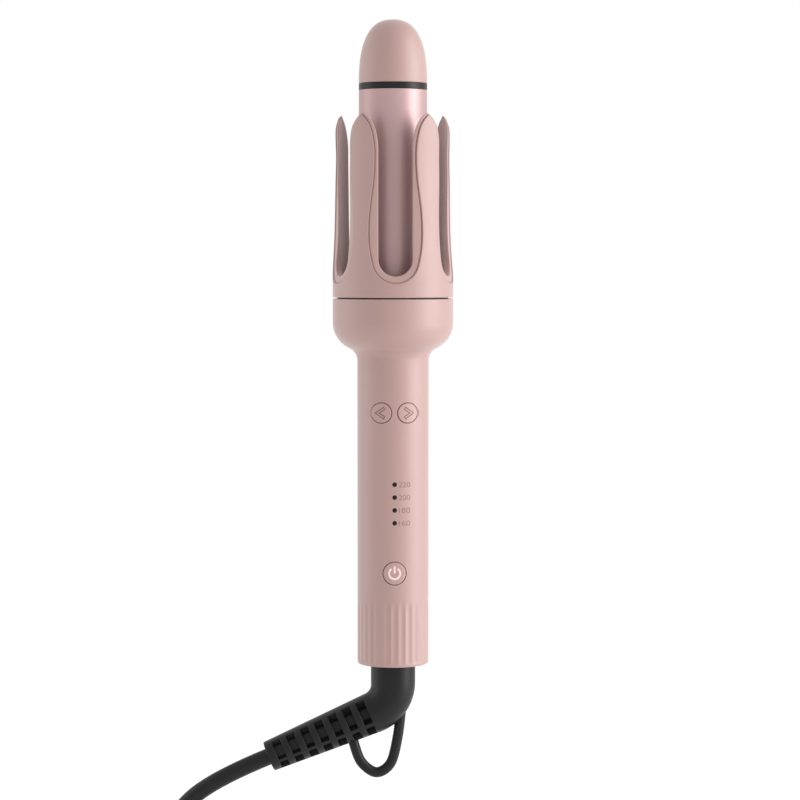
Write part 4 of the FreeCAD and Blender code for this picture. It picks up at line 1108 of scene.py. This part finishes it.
def half_petal():
    """Half a petal with half the slot beside it, as (angle from the slot's middle, radius, z)."""
    heights = cage_heights()
    points, faces = [], []
    columns = len(BAND_SHARES) + len(FACE_SHARES)
    for z in heights:
        radius = outer_radius(z)
        centre = radius * math.sin(HALF_PETAL)
        slot = min(half_width(SLOT_LINE, z), centre)
        face = min(max(half_width(FACE_LINE, z), slot), centre)
        places = [slot + (face - slot) * share for share in BAND_SHARES]
        places += [face + (centre - face) * share for share in FACE_SHARES]
        for x in places:
            here = radius - sunk(x, z)
            points.append((min(math.asin(min(x / here, 1)), HALF_PETAL), here, z))
    faces += grid_faces(len(heights), columns)

    foot = next(index for index, z in enumerate(heights) if z >= SLOT[0][1] - 0.01)
    first = len(points)
    for z in heights[foot:]:
        centre = outer_radius(z) * math.sin(HALF_PETAL)
        slot = min(half_width(SLOT_LINE, z), centre)
        outside = outer_radius(z) - sunk(slot, z)
        inside = min(inner_radius(z), outside)
        for share in (0, 0.5, 1):
            radius = outside + (inside - outside) * share
            points.append((min(math.asin(min(slot / radius, 1)), HALF_PETAL), radius, z))
    faces += grid_faces(len(heights) - foot, 3, first)

    first = len(points)
    low = next(index for index, z in enumerate(heights) if z >= INSIDE[0][0])
    for z in heights[low:]:
        radius = inner_radius(z)
        slot = min(half_width(SLOT_LINE, z) / radius, math.sin(HALF_PETAL))
        start = math.asin(slot)
        points += [(start + (HALF_PETAL - start) * share, radius, z)
                   for share in (0, 0.25, 0.5, 0.75, 1)]
    faces += grid_faces(len(heights) - low, 5, first)
    return points, faces


def add_cage():
    """Five petals from ten mirrored halves, over the cage's floor and skirt."""
    half, half_faces = half_petal()
    points, faces = [], []
    for petal in range(PETALS):
        slot_angle = -math.pi / 2 + 2 * math.pi * petal / PETALS
        for side in (-1, 1):
            first = len(points)
            for turn, radius, z in half:
                angle = slot_angle + side * turn
                points.append((radius * math.cos(angle), radius * math.sin(angle), z))
            faces += [tuple(first + corner for corner in face) for face in half_faces]
    petals = mesh_object("petals", points, faces, 32)
    bore, skirt, floor_low, floor_top = 17.7, 26.1, 176.0, 179.0
    under = lathe("floor", [(CAGE_R - LIP, CAGE_Z), (skirt, CAGE_Z), (skirt, floor_low),
                            (bore, floor_low), (bore, floor_top), (INSIDE[0][1], floor_top)], 160)
    cage = joined("cage", petals, under)
    cage.data.shade_smooth()
    cage.data.set_sharp_from_angle(angle=math.radians(32))
    return place(cage, "cage", "cage_pink", "petal_cage")


# ---------------------------------------------------------------- studio

def add_light(name, where, aim, size, power):
    """A white softbox at a place, turned towards its aim."""
    data = bpy.data.lights.new(name, "AREA")
    data.shape = "RECTANGLE"
    data.size, data.size_y = size
    data.energy = power
    light = bpy.data.objects.new(name, data)
    light.location = where
    light.rotation_mode = "QUATERNION"
    light.rotation_quaternion = (Vector(aim) - Vector(where)).to_track_quat("-Z", "Y")
    bpy.context.scene.collection.objects.link(light)


def add_studio():
    """A white studio: a pale floor, an even surround, a large softbox and a fill."""
    scene = bpy.context.scene
    scene.view_settings.view_transform = "Standard"
    world = bpy.data.worlds.new("studio")
    world.use_nodes = True
    world.node_tree.nodes["Background"].inputs["Color"].default_value = (1, 1, 1, 1)
    world.node_tree.nodes["Background"].inputs["Strength"].default_value = 1.0
    scene.world = world

    half = 8.0
    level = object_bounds()[0].z - 0.02
    mesh = bpy.data.meshes.new("floor")
    mesh.from_pydata([(-half, -half, level), (half, -half, level), (half, half, level),
                      (-half, half, level)], [], [(0, 1, 2, 3)])
    floor = bpy.data.objects.new("studio_floor", mesh)
    scene.collection.objects.link(floor)
    pale = Finish("studio_floor", (243, 243, 243), 0.9).tint(0.01, 900)
    pale.set(Emission_Color=(1, 1, 1, 1), Emission_Strength=0.12)
    mesh.materials.append(pale.material)

    aim = (0, 0, 0.12)
    add_light("softbox", (1.4, -0.45, 0.45), aim, (0.9, 1.5), 24)
    add_light("fill", (-1.2, 0.15, 0.3), aim, (0.5, 1.2), 2.5)


# ---------------------------------------------------------------- put together

add_camera()
cord = add_cord()
on_cord = add_plug() + [add_tie()]
add_guard()
add_shells()
for node in BUTTONS:
    add_button(node, node)
add_icons()
add_digits()
add_lamps()
add_barrel()
add_cage()
finish_cad_nodes()
add_studio()
